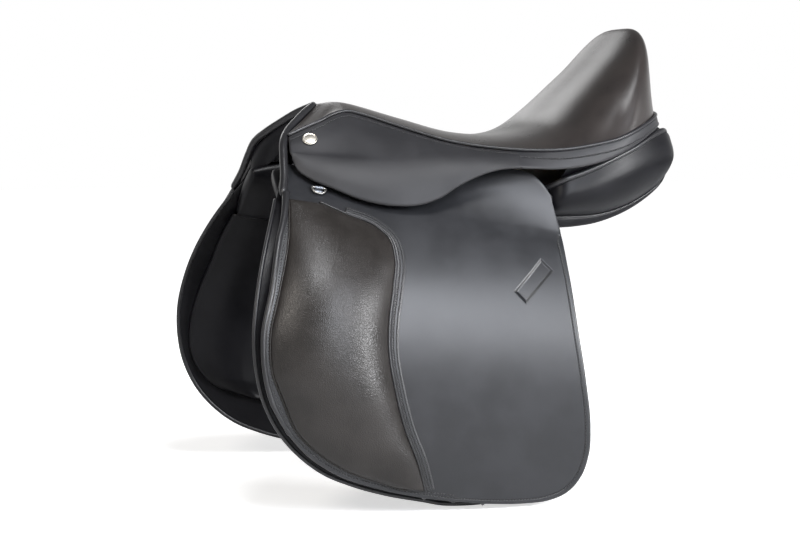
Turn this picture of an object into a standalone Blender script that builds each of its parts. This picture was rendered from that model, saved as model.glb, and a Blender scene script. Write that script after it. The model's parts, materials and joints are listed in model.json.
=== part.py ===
"""All-purpose English saddle, built as separate leather, foam, wood and steel pieces.

Frame: +X to the cantle, -Y to the near (left) side, +Z up, in metres.
The origin lies on the centre plane at the seat's deepest point along X,
level with the panels' lower outer edges there.
Outlines are rows of (x, half width, z) on one side; the other side mirrors them.
"""

import math

import bmesh
import bpy
import numpy as np
from mathutils import Matrix, Vector

COLLECTION = "all_purpose_saddle"
LEFT = -1
RIGHT = 1
SIDES = {LEFT: "left", RIGHT: "right"}

# Leather, foam and clearances
CLEARANCE = 0.0004
FOLD_GAP = 0.0012
SEAT_LEATHER = 0.0020
SKIRT_LEATHER = 0.0036
FLAP_LEATHER = 0.0045
STRAP_LEATHER = 0.0030
SWEAT_LEATHER = 0.0030
GUARD_LEATHER = 0.0020
GUARD_LOOP_LEATHER = 0.0012
SLIDE_CLEARANCE = 0.0009

# Seat: centre line from pommel to the foot of the cantle's back, and the welt
POMMEL_X = -0.183
POMMEL_Z = 0.134
TWIST_HALF = 0.040
SEAT_LOW_Z = 0.101
SEAT_HALF = 0.134
SEAT_DISH = 0.008
CANTLE_X = 0.185
CANTLE_Z = 0.222
CANTLE_BACK_X = 0.196
REAR_WELT_X = 0.197
REAR_WELT_Z = 0.130
SEAT_SPINE = [
    (POMMEL_X, POMMEL_Z),
    (POMMEL_X + 0.018, POMMEL_Z + 0.002),
    (POMMEL_X + 0.040, POMMEL_Z - 0.001),
    (-0.090, 0.118),
    (-0.035, SEAT_LOW_Z + 0.003),
    (0.020, SEAT_LOW_Z + 0.002),
    (0.068, SEAT_LOW_Z + 0.015),
    (CANTLE_X - 0.080, CANTLE_Z - 0.074),
    (CANTLE_X - 0.040, CANTLE_Z - 0.031),
    (CANTLE_X, CANTLE_Z),
    (CANTLE_BACK_X, CANTLE_Z - 0.018),
    (CANTLE_BACK_X + 0.001, CANTLE_Z - 0.054),
    (REAR_WELT_X, REAR_WELT_Z + 0.001),
]
SEAT_WELT = [
    (-0.2315, TWIST_HALF + 0.013, 0.1015),
    (-0.197, TWIST_HALF + 0.010, 0.116),
    (-0.163, TWIST_HALF, 0.127),
    (-0.118, 0.057, 0.114),
    (-0.062, 0.089, 0.095),
    (-0.004, SEAT_HALF - 0.020, 0.086),
    (0.052, SEAT_HALF - 0.003, 0.085),
    (0.100, SEAT_HALF, 0.092),
    (0.125, SEAT_HALF - 0.003, 0.098),
    (0.146, SEAT_HALF - 0.009, 0.106),
    (0.172, SEAT_HALF - 0.025, 0.117),
    (0.190, SEAT_HALF - 0.050, 0.124),
    (REAR_WELT_X - 0.004, 0.052, REAR_WELT_Z - 0.002),
]
SEAT_CROWN = [1.15, 1.5, 1.8, 2.0, 2.2, 2.3, 2.6, 3.0, 3.0, 3.0, 2.6, 2.2, 2.0]
SEAT_HOLLOW = [0.0, 0.0, 0.0, 0.0, 0.1, 0.3, 0.6, 1.0, 0.9, 0.2, 0.0, 0.0, 0.0]
SEAT_ROWS = 25
SEAT_COLUMNS = 13
WELT_RADIUS = 0.0020

# Foam and tree under the seat, in seat rows counted from the pommel
FOAM_AT_POMMEL = 0.005
FOAM_IN_SEAT = 0.012
FOAM_ROWS = (1, 17)
FOAM_EDGE_COLUMNS = 1
TREE_ROWS = (1, 16)
TREE_OPEN_ROWS = (5, 13)
TREE_OPEN_COLUMNS = (4, 8)
TREE_THICKNESS = 0.008
WEB_THICKNESS = 0.0018
CROSS_WEB_ROWS = (8, 10)
TREE_DROP = 2 * WEB_THICKNESS + 3 * CLEARANCE
SPRING_ROWS = (4, 12)
SPRING_THICKNESS = 0.0015
CANTLE_PLATE_ROWS = (13, 16)
WEB_WIDTH = 0.060

# Head: steel arch, front binding, lining
HEAD_PLATE_THICKNESS = 0.003
HEAD_PLATE_WIDTH = 0.030
HEAD_ARCH = [(-0.1876, 0.0, 0.1315), (-0.2019, 0.0155, 0.1236), (-0.2162, 0.028, 0.1133),
             (-0.2287, 0.040, 0.1033), (-0.2385, 0.0575, 0.091), (-0.242, 0.0695, 0.077),
             (-0.246, 0.0855, 0.056), (-0.251, 0.098, 0.0405)]
HEAD_ARM_X = -0.214
HEAD_PLATE_ARCH = [(-0.168, 0.0, 0.1090), (-0.171, 0.014, 0.1071), (-0.178, 0.026, 0.0980),
                   (-0.190, 0.037, 0.0880), (-0.201, 0.047, 0.0785), (-0.209, 0.055, 0.0690)]
BINDING_RADIUS = 0.0045
LINING_FRONT = [(-0.184, 0.0, 0.1045), (-0.192, 0.012, 0.1015), (-0.204, 0.022, 0.0930),
                (-0.215, 0.032, 0.0820), (-0.226, 0.041, 0.0700)]
LINING_BACK = [(-0.120, 0.0, 0.0860), (-0.120, 0.009, 0.0850), (-0.120, 0.018, 0.0820),
               (-0.120, 0.026, 0.0780), (-0.120, 0.031, 0.0745)]
LINING_THICKNESS = 0.0015

# Flap surface: half width against level, where level is height above the fold's tilt
MID_X = -0.100
FOLD_TILT = 0.15
FOLD_LEVEL = 0.016
FOLD_HALF = 0.122
FOOT_LEVEL = -0.277
FOOT_HALF = 0.200
FLARE = 3.4
HEAD_CURVE = 3.0
SPREAD_AT_FOLD = 0.12
SPREAD_AT_FOOT = 0.05
SPREAD_RISE = 3.0
HEAD_TOP_LEVEL = 0.048
HEAD_TOP_REAR_LEVEL = 0.092
FLAP_FRONT = [(0.060, -0.2435), (0.034, -0.2475), (0.016, -0.2525), (-0.006, -0.260), (-0.032, -0.271),
              (-0.083, -0.286), (-0.133, -0.299), (-0.164, -0.299), (-0.193, -0.293),
              (-0.226, -0.275), (-0.247, -0.252), (-0.262, -0.225), (-0.274, -0.174),
              (-0.2785, -0.130)]
FLAP_REAR = [(0.060, 0.044), (0.030, 0.048), (-0.023, 0.046), (-0.085, 0.046), (-0.136, 0.050),
             (-0.183, 0.0535), (-0.215, 0.0515), (-0.239, 0.043), (-0.257, 0.028),
             (-0.268, 0.007), (-0.2745, -0.024), (-0.2785, -0.066)]
SWEAT_FRONT = [(0.041, -0.240), (0.008, -0.257), (-0.029, -0.274), (-0.060, -0.286),
               (-0.096, -0.296), (-0.135, -0.302), (-0.166, -0.301), (-0.195, -0.295),
               (-0.228, -0.278), (-0.250, -0.256), (-0.265, -0.231), (-0.273, -0.205),
               (-0.280, -0.165), (-0.283, -0.125)]
SWEAT_REAR = [(0.041, 0.030), (-0.100, 0.030), (-0.200, 0.030), (-0.235, 0.022),
              (-0.258, -0.002), (-0.274, -0.040), (-0.283, -0.085)]
LEVELS = [FOLD_LEVEL, 0.007, -0.004, -0.014, -0.030, -0.050, -0.075, -0.105, -0.135, -0.165,
          -0.193, -0.215, -0.235, -0.250, -0.262, -0.270, -0.276, -0.2785]
STRAP_TOP_LEVEL = 0.030
FLAP_LIFT_COLUMNS = 9

# Layers under the flap, as depth below its outer surface
GUARD_DEPTH = FLAP_LEATHER + 2 * SLIDE_CLEARANCE
STRAP_DEPTH = GUARD_DEPTH + GUARD_LEATHER + SLIDE_CLEARANCE
LOOP_DEPTH = STRAP_DEPTH + STRAP_LEATHER + SLIDE_CLEARANCE
SWEAT_DEPTH = LOOP_DEPTH + GUARD_LOOP_LEATHER + SLIDE_CLEARANCE
PANEL_DEPTH = SWEAT_DEPTH + SWEAT_LEATHER + 2.5 * CLEARANCE

# Knee pad on the flap, with its stitched band
PAD_FRONT = [(0.010, -0.2485), (-0.031, -0.259), (-0.082, -0.276), (-0.132, -0.290),
             (-0.163, -0.290), (-0.192, -0.280), (-0.225, -0.264), (-0.244, -0.241),
             (-0.257, -0.215), (-0.267, -0.174), (-0.272, -0.150)]
PAD_REAR = [(0.020, -0.240), (0.012, -0.215), (0.004, -0.191), (-0.005, -0.161),
            (-0.015, -0.150), (-0.033, -0.148), (-0.063, -0.155), (-0.099, -0.164),
            (-0.129, -0.167), (-0.169, -0.162), (-0.209, -0.152), (-0.244, -0.138),
            (-0.270, -0.131)]
PAD_ROWS = (1, 15)
PAD_COLUMNS = 8
PAD_CROWN = 0.018
PAD_EDGE = 0.0035
PAD_BAND_WIDTH = 0.012
PAD_BAND_THICKNESS = 0.002

# Skirt: welt edge, fold line and lower edge
SKIRT_FOLD_FRONT = (-0.234, 0.072, 0.083)
SKIRT_FOLD_REAR = (0.006, 0.130, 0.078)
SKIRT_LOWER = [(-0.2345, 0.0765, 0.0745), (-0.231, 0.084, 0.065), (-0.2205, 0.093, 0.056),
               (-0.199, 0.106, 0.046), (-0.171, 0.118, 0.034), (-0.130, 0.128, 0.027),
               (-0.109, 0.130, 0.028), (-0.087, 0.131, 0.035), (-0.065, 0.132, 0.048),
               (-0.042, 0.133, 0.059), (-0.020, 0.135, 0.067), (0.002, 0.138, 0.0695)]
STRIP_LOWER = [(0.016, 0.139, 0.0697), (0.047, 0.142, 0.070), (0.096, 0.141, 0.0775),
               (0.137, 0.133, 0.092), (0.168, 0.118, 0.106), (0.192, 0.092, 0.113),
               (0.206, 0.050, 0.116), (0.211, 0.00025, 0.1165)]
SKIRT_BULGE = 0.09
SKIRT_COLUMNS = 14
STUD_X = -0.212
STUD_RADIUS = 0.008
STUD_HEIGHT = 0.0022
STUD_SHANK_RADIUS = 0.0012

# Girth straps
STRAP_WIDTH = 0.026
STRAP_PITCH = 0.042
STRAP_MIDDLE_X = -0.055
STRAP_END_LEVEL = -0.245
STRAP_POINT = 0.014
GUARD_TOP_LEVEL = -0.075
GUARD_END_LEVEL = -0.165
GUARD_LOOP_END_LEVEL = -0.105
GUARD_MARGIN = 0.006
GUARD_WALL = 0.003
STRAP_PIVOT_LEVEL = 0.024

# Stirrup bar with its safety catch
BAR_LENGTH = 0.082
BAR_THICKNESS = 0.0065
BAR_HEIGHT = 0.012
BAR_PLATE_THICKNESS = 0.004
CATCH_LENGTH = 0.026
CATCH_HEIGHT = 0.008
CATCH_TAIL = 0.0036
CATCH_SEAT = 0.012
CATCH_THICKNESS = 0.0035
TONGUE_THICKNESS = 0.0025
CATCH_PIN_RADIUS = 0.0016
BAR_FRONT_X = -0.190
BAR_AIM_X = -0.110
BAR_LEVEL = 0.0465
BAR_AIM_LEVEL = 0.0481
BAR_STAND = 0.0085
BAR_NORMAL = (0.0, 0.78, 0.62)
BAR_ARM = 0.010
BAR_PLATE_SHIFT = (0.0, 0.0, -0.0005)
BAR_PLATE_DROP = (0.0, 0.022, -0.026)

# D ring on the flap head
RING_X = -0.212
RING_LEVEL = 0.0275
RING_STAND = 0.0030
RING_WIRE = 0.0013
RING_HALF_WIDTH = 0.0075
RING_HEIGHT = 0.0085
RING_KEEPER_WIDTH = 0.008
RING_KEEPER_HEIGHT = 0.0056

# Panels: bearing panel, rear gusset, lower front panel
PANEL_FRONT_STATIONS = [-0.246, -0.225, -0.190, -0.150, -0.100, -0.050, 0.000, 0.015, 0.030]
PANEL_BOTTOM_LEVEL = -0.0135
PANEL_GULLET = 0.032
PANEL_GULLET_FRONT = 0.042
PANEL_REAR_STATIONS = [(0.058, (0.126, 0.049), (0.109, 0.010), 0.013, 0.040, 0.066),
                       (0.085, (0.127, 0.058), (0.106, 0.010), 0.012, 0.043, 0.072),
                       (0.116, (0.124, 0.070), (0.101, 0.012), 0.010, 0.047, 0.080),
                       (0.150, (0.116, 0.084), (0.094, 0.020), 0.008, 0.054, 0.090),
                       (0.180, (0.103, 0.098), (0.087, 0.033), 0.007, 0.062, 0.100),
                       (0.203, (0.088, 0.103), (0.081, 0.048), 0.006, 0.070, 0.103),
                       (0.216, (0.076, 0.095), (0.072, 0.062), 0.004, 0.078, 0.094)]
PANEL_THICKNESS = 0.026
GUSSET_THICKNESS = 0.010
GUSSET_BULGE = 0.008
FACING_FRONT_X = 0.056
FACING_REAR_HALF = 0.086
FACING_TOP_INSET = (-0.0006, -0.0078, -0.0014)
FACING_LOW_INSET = (-0.001, -0.0035, 0.0012)
FACING_LEATHER = 0.0018
FRONT_PANEL_THICKNESS = 0.018
FRONT_PANEL_PROFILE = [0.3, 0.95, 1.0, 0.66, 0.82, 0.9, 0.8, 0.3]
FRONT_PANEL_FRONT = [(-0.010, -0.250), (-0.040, -0.260), (-0.075, -0.269), (-0.113, -0.281),
                     (-0.150, -0.289), (-0.180, -0.289), (-0.203, -0.280), (-0.220, -0.264),
                     (-0.231, -0.235), (-0.236, -0.200)]
FRONT_PANEL_REAR = [(-0.010, -0.020), (-0.100, -0.050), (-0.165, -0.075), (-0.205, -0.105),
                    (-0.228, -0.140), (-0.236, -0.165)]


def cubic_path(points, count):
    """Smooth path of count points through the given points, spaced by chord length."""
    knots = np.asarray(points, float)
    gaps = np.linalg.norm(np.diff(knots, axis=0), axis=1)
    at = np.concatenate([[0.0], np.cumsum(gaps)])
    return hermite(at, knots, np.linspace(0.0, at[-1], count))


def hermite(at, knots, where):
    """Cubic through knots given at rising positions, read at each position in where."""
    slope = np.gradient(knots, at, axis=0)
    index = np.clip(np.searchsorted(at, where, side="right") - 1, 0, len(at) - 2)
    width = at[index + 1] - at[index]
    t = ((where - at[index]) / width)[:, None]
    width = width[:, None]
    start, end = knots[index], knots[index + 1]
    return (start * (2 * t**3 - 3 * t**2 + 1) + end * (3 * t**2 - 2 * t**3)
            + slope[index] * width * (t**3 - 2 * t**2 + t)
            + slope[index + 1] * width * (t**3 - t**2))


def by_row(points, count):
    """Smooth rows through points that are evenly numbered, not evenly spaced."""
    knots = np.asarray(points, float)
    if knots.ndim == 1:
        knots = knots[:, None]
    at = np.arange(len(knots), dtype=float)
    return hermite(at, knots, np.linspace(0.0, at[-1], count))


def edge_at(levels, outline):
    """X of an outline of (level, x) at each level."""
    dense = cubic_path(outline, 400)
    order = np.argsort(dense[:, 0])
    return np.interp(levels, dense[order, 0], dense[order, 1])


def unit(vectors):
    """Vectors scaled to length one."""
    vectors = np.asarray(vectors, float)
    return vectors / np.linalg.norm(vectors, axis=-1, keepdims=True)


def grid_normals(grid):
    """Unit normals of a grid of points, from its row and column directions."""
    rows = np.gradient(grid, axis=0)
    columns = np.gradient(grid, axis=1)
    return unit(np.cross(rows, columns))


def flap_slope(level):
    """How fast the flap widens as the level falls."""
    fall = np.clip((level - FOOT_LEVEL) / (FOLD_LEVEL - FOOT_LEVEL), 0.0, 1.0)
    rise = np.maximum(level - FOLD_LEVEL, 0.0)
    steepest = FLARE * (FOOT_HALF - FOLD_HALF) / (FOLD_LEVEL - FOOT_LEVEL)
    return steepest * fall ** (FLARE - 1.0) - 2.0 * HEAD_CURVE * rise


def flap_half(x, level, depth=0.0):
    """Half width of the flap's layer at a depth below its outer surface."""
    fall = np.clip((level - FOOT_LEVEL) / (FOLD_LEVEL - FOOT_LEVEL), 0.0, 1.0)
    rise = np.maximum(level - FOLD_LEVEL, 0.0)
    steepest = FLARE * (FOOT_HALF - FOLD_HALF) / (FOLD_LEVEL - FOOT_LEVEL)
    half = FOOT_HALF - (FOOT_HALF - FOLD_HALF) * fall**FLARE
    half = half - steepest * rise + HEAD_CURVE * rise**2
    spread = SPREAD_AT_FOOT + (SPREAD_AT_FOLD - SPREAD_AT_FOOT) * fall**4 + SPREAD_RISE * rise
    half = half + spread * (x - MID_X)
    return half - depth * np.sqrt(1.0 + flap_slope(level) ** 2)


def flap_points(x, level, depth=0.0):
    """Points (x, half width, z) on the flap's layer at a depth."""
    x, level = np.broadcast_arrays(np.asarray(x, float), np.asarray(level, float))
    z = level - FOLD_TILT * (x - MID_X)
    return np.stack([x, flap_half(x, level, depth), z], axis=-1)


def layer_grid(levels, front, rear, columns, depth):
    """Grid on a flap layer, one row for each level, from the front edge to the rear edge."""
    levels = np.asarray(levels, float)
    across = np.linspace(0.0, 1.0, columns)[None, :]
    x = front[:, None] + (rear - front)[:, None] * across
    return flap_points(x, levels[:, None], depth)


def sided(points, side):
    """Points with half width turned into Y on the given side."""
    result = np.array(points, float)
    result[..., 1] *= side
    return result


class Saddle:
    """Collection, bodies and materials that the pieces share."""

    def __init__(self):
        for item in list(bpy.data.objects):
            bpy.data.objects.remove(item)
        self.parts = self.collection(COLLECTION)
        self.cutters = self.collection("cutters")
        self.materials = {}

    def collection(self, name):
        """New collection linked to the scene."""
        made = bpy.data.collections.new(name)
        bpy.context.scene.collection.children.link(made)
        return made

    def material(self, name, colour, roughness, metallic=0.0):
        """Principled material, made once for each name."""
        if name not in self.materials:
            made = bpy.data.materials.new(name)
            made.use_nodes = True
            shader = made.node_tree.nodes["Principled BSDF"]
            shader.inputs["Base Color"].default_value = (*colour, 1.0)
            shader.inputs["Roughness"].default_value = roughness
            shader.inputs["Metallic"].default_value = metallic
            made.diffuse_color = (*colour, 1.0)
            self.materials[name] = made
        return self.materials[name]

    def axis(self, name, point):
        """Empty on a joint's axis, the parent of the pieces that move with it."""
        empty = bpy.data.objects.new(name, None)
        empty.empty_display_size = 0.02
        empty.location = point
        self.parts.objects.link(empty)
        return empty

    def add(self, name, mesh, finish, parent=None, origin=None):
        """Object for one piece, with its origin at the given point."""
        place = Vector(origin) if origin is not None else Vector((0.0, 0.0, 0.0))
        if parent is not None and origin is None:
            place = Vector(parent.location)
        mesh.transform(Matrix.Translation(-place))
        mesh.materials.clear()
        mesh.materials.append(self.material(*finish))
        made = bpy.data.objects.new(name, mesh)
        made.location = place
        if parent is not None:
            made.parent = parent
            made.location = place - Vector(parent.location)
        self.parts.objects.link(made)
        return made

    def cutter(self, name, mesh):
        """Hidden cutting body."""
        made = bpy.data.objects.new(name, mesh)
        made.hide_render = True
        made.display_type = "WIRE"
        self.cutters.objects.link(made)
        return made


BLACK = ("black_leather", (0.030, 0.030, 0.034), 0.42)
SOFT_BLACK = ("soft_black_leather", (0.026, 0.022, 0.022), 0.45)
BROWN_BLACK = ("brown_black_leather", (0.040, 0.030, 0.026), 0.40)
LINING = ("lining_leather", (0.020, 0.019, 0.022), 0.55)
STRAP = ("strap_leather", (0.045, 0.040, 0.038), 0.60)
FOAM = ("foam", (0.55, 0.50, 0.38), 0.90)
WOOD = ("laminated_wood", (0.45, 0.30, 0.16), 0.60)
WEB = ("webbing", (0.60, 0.58, 0.52), 0.90)
STEEL = ("blued_steel", (0.25, 0.26, 0.28), 0.35, 1.0)
NICKEL = ("bright_nickel", (0.72, 0.69, 0.64), 0.22, 1.0)


def mesh_from(name, verts, faces):
    """Mesh with its face directions made to agree."""
    mesh = bpy.data.meshes.new(name)
    mesh.from_pydata([tuple(v) for v in verts], [], faces)
    work = bmesh.new()
    work.from_mesh(mesh)
    bmesh.ops.recalc_face_normals(work, faces=work.faces)
    work.to_mesh(mesh)
    work.free()
    return mesh


def grid_faces(rows, columns, closed=False):
    """Quads of a grid of points; closed joins the last row to the first."""
    index = np.arange(rows * columns).reshape(rows, columns)
    if closed:
        index = np.vstack([index, index[:1]])
    first, second = index[:-1, :-1], index[:-1, 1:]
    third, fourth = index[1:, 1:], index[1:, :-1]
    return np.stack([first, second, third, fourth], axis=-1).reshape(-1, 4).tolist()


def sheet_mesh(name, grid, outward, skip=None):
    """Open surface over a grid, with its faces turned to the outward side."""
    rows, columns = grid.shape[:2]
    faces = grid_faces(rows, columns)
    if skip is not None:
        keep = (~skip).reshape(-1)
        faces = [face for face, kept in zip(faces, keep) if kept]
    mesh = mesh_from(name, grid.reshape(-1, 3), faces)
    total = Vector((0.0, 0.0, 0.0))
    for polygon in mesh.polygons:
        total += polygon.normal * polygon.area
    if total.dot(Vector(outward)) < 0.0:
        mesh.flip_normals()
    work = bmesh.new()
    work.from_mesh(mesh)
    loose = [v for v in work.verts if not v.link_faces]
    bmesh.ops.delete(work, geom=loose, context="VERTS")
    work.to_mesh(mesh)
    work.free()
    return mesh


def thicken(made, thickness):
    """Solidify from the outer surface inwards."""
    modifier = made.modifiers.new("thickness", "SOLIDIFY")
    modifier.thickness = thickness
    modifier.offset = -1.0
    modifier.use_rim = True
    return made


def slab_mesh(name, outer, inner):
    """Closed body between two grids of the same size."""
    rows, columns = outer.shape[:2]
    count = rows * columns
    top = grid_faces(rows, columns)
    bottom = [[i + count for i in reversed(face)] for face in top]
    index = np.arange(count).reshape(rows, columns)
    rim = np.concatenate([index[0, :], index[1:, -1], index[-1, -2::-1], index[-2:0:-1, 0]])
    sides = []
    for here, there in zip(rim, np.roll(rim, -1)):
        sides.append([int(there), int(here), int(here) + count, int(there) + count])
    verts = np.concatenate([outer.reshape(-1, 3), inner.reshape(-1, 3)])
    return mesh_from(name, verts, top + bottom + sides)


def loft_mesh(name, rings):
    """Closed body through rings of points, capped at both ends."""
    stations, points = rings.shape[:2]
    index = np.arange(stations * points).reshape(stations, points)
    faces = []
    for here, there in zip(index[:-1], index[1:]):
        for a, b, c, d in zip(here, np.roll(here, -1), np.roll(there, -1), there):
            faces.append([int(a), int(b), int(c), int(d)])
    faces.append([int(i) for i in index[0]])
    faces.append([int(i) for i in index[-1][::-1]])
    return mesh_from(name, rings.reshape(-1, 3), faces)


def tube_mesh(name, path, radius, sides=8, closed=False):
    """Round tube along an open or closed path, from a curve with filled caps."""
    curve = bpy.data.curves.new(name, "CURVE")
    curve.dimensions = "3D"
    curve.bevel_depth = radius
    curve.bevel_resolution = sides // 2 - 2
    curve.use_fill_caps = not closed
    spline = curve.splines.new("POLY")
    spline.use_cyclic_u = closed
    spline.points.add(len(path) - 1)
    for point, place in zip(spline.points, path):
        point.co = (*place, 1.0)
    holder = bpy.data.objects.new(name, curve)
    bpy.context.scene.collection.objects.link(holder)
    bpy.context.view_layer.update()
    evaluated = holder.evaluated_get(bpy.context.evaluated_depsgraph_get())
    mesh = bpy.data.meshes.new_from_object(evaluated)
    bpy.data.objects.remove(holder)
    work = bmesh.new()
    work.from_mesh(mesh)
    bmesh.ops.remove_doubles(work, verts=work.verts, dist=0.00002)
    bmesh.ops.recalc_face_normals(work, faces=work.faces)
    work.to_mesh(mesh)
    work.free()
    return mesh


def box_mesh(name, size, frame):
    """Box of a size placed by a 4x4 frame."""
    mesh = bpy.data.meshes.new(name)
    work = bmesh.new()
    bmesh.ops.create_cube(work, size=1.0)
    bmesh.ops.scale(work, vec=size, verts=work.verts)
    work.to_mesh(mesh)
    work.free()
    mesh.transform(frame)
    return mesh


def cylinder_mesh(name, radius, length, frame, sides=16):
    """Cylinder along its frame's local Z."""
    mesh = bpy.data.meshes.new(name)
    work = bmesh.new()
    bmesh.ops.create_cone(work, cap_ends=True, segments=sides, radius1=radius,
                          radius2=radius, depth=length)
    work.to_mesh(mesh)
    work.free()
    mesh.transform(frame)
    return mesh


def frame_at(point, x_axis, z_axis):
    """4x4 frame with its local X and Z near the given directions."""
    along = unit(x_axis)
    up = np.asarray(z_axis, float)
    up = unit(up - along * np.dot(up, along))
    across = np.cross(up, along)
    columns = np.stack([along, across, up], axis=1)
    frame = Matrix([list(row) for row in columns]).to_4x4()
    frame.translation = Vector(point)
    return frame


def unite(target, mesh, name, saddle):
    """Boolean union of an object with another mesh."""
    boolean(target, saddle.cutter(name, mesh), "UNION")


def cut(target, mesh, name, saddle):
    """Boolean cut of an object by another mesh."""
    boolean(target, saddle.cutter(name, mesh), "DIFFERENCE")


def boolean(target, tool, operation):
    """Exact Boolean modifier, with the tool in the target's place."""
    modifier = target.modifiers.new(operation.lower(), "BOOLEAN")
    modifier.operation = operation
    modifier.solver = "EXACT"
    modifier.object = tool


def seat_grid():
    """Outer surface of the seat: rows from pommel to rear welt, columns across."""
    spine = by_row(SEAT_SPINE, SEAT_ROWS)
    welt = by_row(SEAT_WELT, SEAT_ROWS)
    crown = by_row(SEAT_CROWN, SEAT_ROWS)
    across = np.linspace(-1.0, 1.0, SEAT_COLUMNS)
    lean = np.abs(across)[None, :] ** crown
    x = spine[:, :1] + (welt[:, :1] - spine[:, :1]) * lean
    z = spine[:, 1:] + (welt[:, 2:] - spine[:, 1:]) * lean
    hollow = by_row(SEAT_HOLLOW, SEAT_ROWS) * SEAT_DISH
    z = z - hollow * (1.0 - across[None, :] ** 2) ** 2
    y = welt[:, 1:2] * across[None, :]
    return np.stack([x, y, z], axis=-1)


def seat_layer(grid, depth):
    """Seat surface moved inwards by a depth, one value or one for each row."""
    normals = grid_normals(grid)
    if normals[len(grid) // 3, SEAT_COLUMNS // 2, 2] < 0.0:
        normals = -normals
    depth = np.broadcast_to(np.asarray(depth, float).reshape(-1, 1, 1), normals.shape[:1] + (1, 1))
    return grid - normals * depth


def foam_depths():
    """Foam thickness at each seat row."""
    rows = np.arange(SEAT_ROWS)
    return np.interp(rows, [1, 8, 12, 18], [FOAM_AT_POMMEL, FOAM_IN_SEAT, FOAM_IN_SEAT, 0.009])


def seat_under(grid, extra):
    """Seat surface below the cover and foam, lowered by an extra depth."""
    return seat_layer(grid, SEAT_LEATHER + 2 * CLEARANCE + foam_depths() + extra)


def welt_path():
    """The welt from the pommel corner to the rear centre, one side."""
    middle = (REAR_WELT_X - 0.0005, 0.028, REAR_WELT_Z - 0.0005)
    rear = (REAR_WELT_X + 0.0008, 0.0, REAR_WELT_Z + 0.0005)
    return np.concatenate([by_row(SEAT_WELT, SEAT_ROWS), [middle, rear]])


def off_welt(path, out, down):
    """Path moved out and down from the welt's line."""
    along = np.gradient(path, axis=0)
    along[-1] = (0.0, -1.0, 0.0)
    flat = unit(np.stack([-along[:, 1], along[:, 0], np.zeros(len(path))], axis=1))
    return path + flat * out + np.array([0.0, 0.0, -down])


def make_seat(saddle):
    """Cover, foam, tree, webs, cantle plate and welt."""
    grid = seat_grid()
    cover = saddle.add("seat_cover", sheet_mesh("seat_cover", grid, (0, 0, 1)), BROWN_BLACK)
    thicken(cover, SEAT_LEATHER)

    foam = foam_depths()
    first, last = FOAM_ROWS
    edge = slice(FOAM_EDGE_COLUMNS, SEAT_COLUMNS - FOAM_EDGE_COLUMNS)
    top = seat_layer(grid, SEAT_LEATHER + CLEARANCE)[first:last + 1, edge]
    bottom = seat_layer(grid, SEAT_LEATHER + CLEARANCE + foam)[first:last + 1, edge]
    saddle.add("seat_foam", slab_mesh("seat_foam", top, bottom), FOAM)

    under = seat_under(grid, TREE_DROP)
    start, end = TREE_ROWS
    frame = under[start:end + 1, edge]
    rows, columns = frame.shape[:2]
    skip = np.zeros((rows - 1, columns - 1), bool)
    open_rows = slice(TREE_OPEN_ROWS[0] - start, TREE_OPEN_ROWS[1] - start)
    open_columns = slice(TREE_OPEN_COLUMNS[0] - 1, TREE_OPEN_COLUMNS[1] - 1)
    skip[open_rows, open_columns] = True
    tree = saddle.add("tree_frame", sheet_mesh("tree_frame", frame, (0, 0, 1), skip), WOOD)
    thicken(tree, TREE_THICKNESS)

    long_web = seat_strip(seat_under(grid, CLEARANCE)[4:16], WEB_WIDTH / 2.0, 9)
    made = saddle.add("web_fore_aft", sheet_mesh("web_fore_aft", long_web, (0, 0, 1)), WEB)
    thicken(made, WEB_THICKNESS)
    first, last = CROSS_WEB_ROWS
    cross = seat_under(grid, WEB_THICKNESS + 2 * CLEARANCE)[first:last + 1, edge]
    made = saddle.add("web_cross", sheet_mesh("web_cross", cross, (0, 0, 1)), WEB)
    thicken(made, WEB_THICKNESS)

    below = seat_under(grid, TREE_DROP + TREE_THICKNESS + CLEARANCE)
    plate = below[CANTLE_PLATE_ROWS[0]:CANTLE_PLATE_ROWS[1] + 1, 3:SEAT_COLUMNS - 3]
    made = saddle.add("cantle_plate", sheet_mesh("cantle_plate", plate, (0, 0, 1)), STEEL)
    thicken(made, SPRING_THICKNESS)
    for side in (LEFT, RIGHT):
        column = SEAT_COLUMNS // 2 + side * 3
        columns = slice(min(column, column + side), max(column, column + side) + 1)
        spring = below[SPRING_ROWS[0]:SPRING_ROWS[1] + 1, columns]
        name = "spring_rail_" + SIDES[side]
        made = saddle.add(name, sheet_mesh(name, spring, (0, 0, 1)), STEEL)
        thicken(made, SPRING_THICKNESS)
    return grid


def seat_strip(rows, half, columns):
    """Grid of a band of one width, centred on seat rows."""
    y = np.linspace(-half, half, columns)
    strip = np.empty((len(rows), columns, 3))
    strip[..., 1] = y
    for out, row in zip(strip, rows):
        out[:, 0] = np.interp(y, row[:, 1], row[:, 0])
        out[:, 2] = np.interp(y, row[:, 1], row[:, 2])
    return strip


def make_welt(saddle):
    """Piping between the seat cover and the skirts."""
    reach = WELT_RADIUS + CLEARANCE
    centre = off_welt(welt_path(), 0.85 * reach, 0.52 * reach)
    path = np.concatenate([sided(centre, LEFT), sided(centre[-2::-1], RIGHT)])
    saddle.add("seat_welt", tube_mesh("seat_welt", path, WELT_RADIUS, 6), BLACK)


def skirt_top_edge(count):
    """Upper edge of the skirt, just outside and below the welt."""
    reach = 2 * WELT_RADIUS + 3 * CLEARANCE
    path = off_welt(welt_path(), 0.70 * reach, 0.71 * reach)
    at = np.concatenate([[0.0], np.cumsum(np.linalg.norm(np.diff(path, axis=0), axis=1))])
    where = np.linspace(0.0, at[-1], count)
    return np.stack([np.interp(where, at, path[:, k]) for k in range(3)], axis=1)


def on_skirt_fold(x):
    """Points of the skirt's fold line at each x."""
    front, rear = np.array(SKIRT_FOLD_FRONT), np.array(SKIRT_FOLD_REAR)
    share = (np.asarray(x, float) - front[0]) / (rear[0] - front[0])
    return front + (rear - front) * share[..., None]


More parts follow.
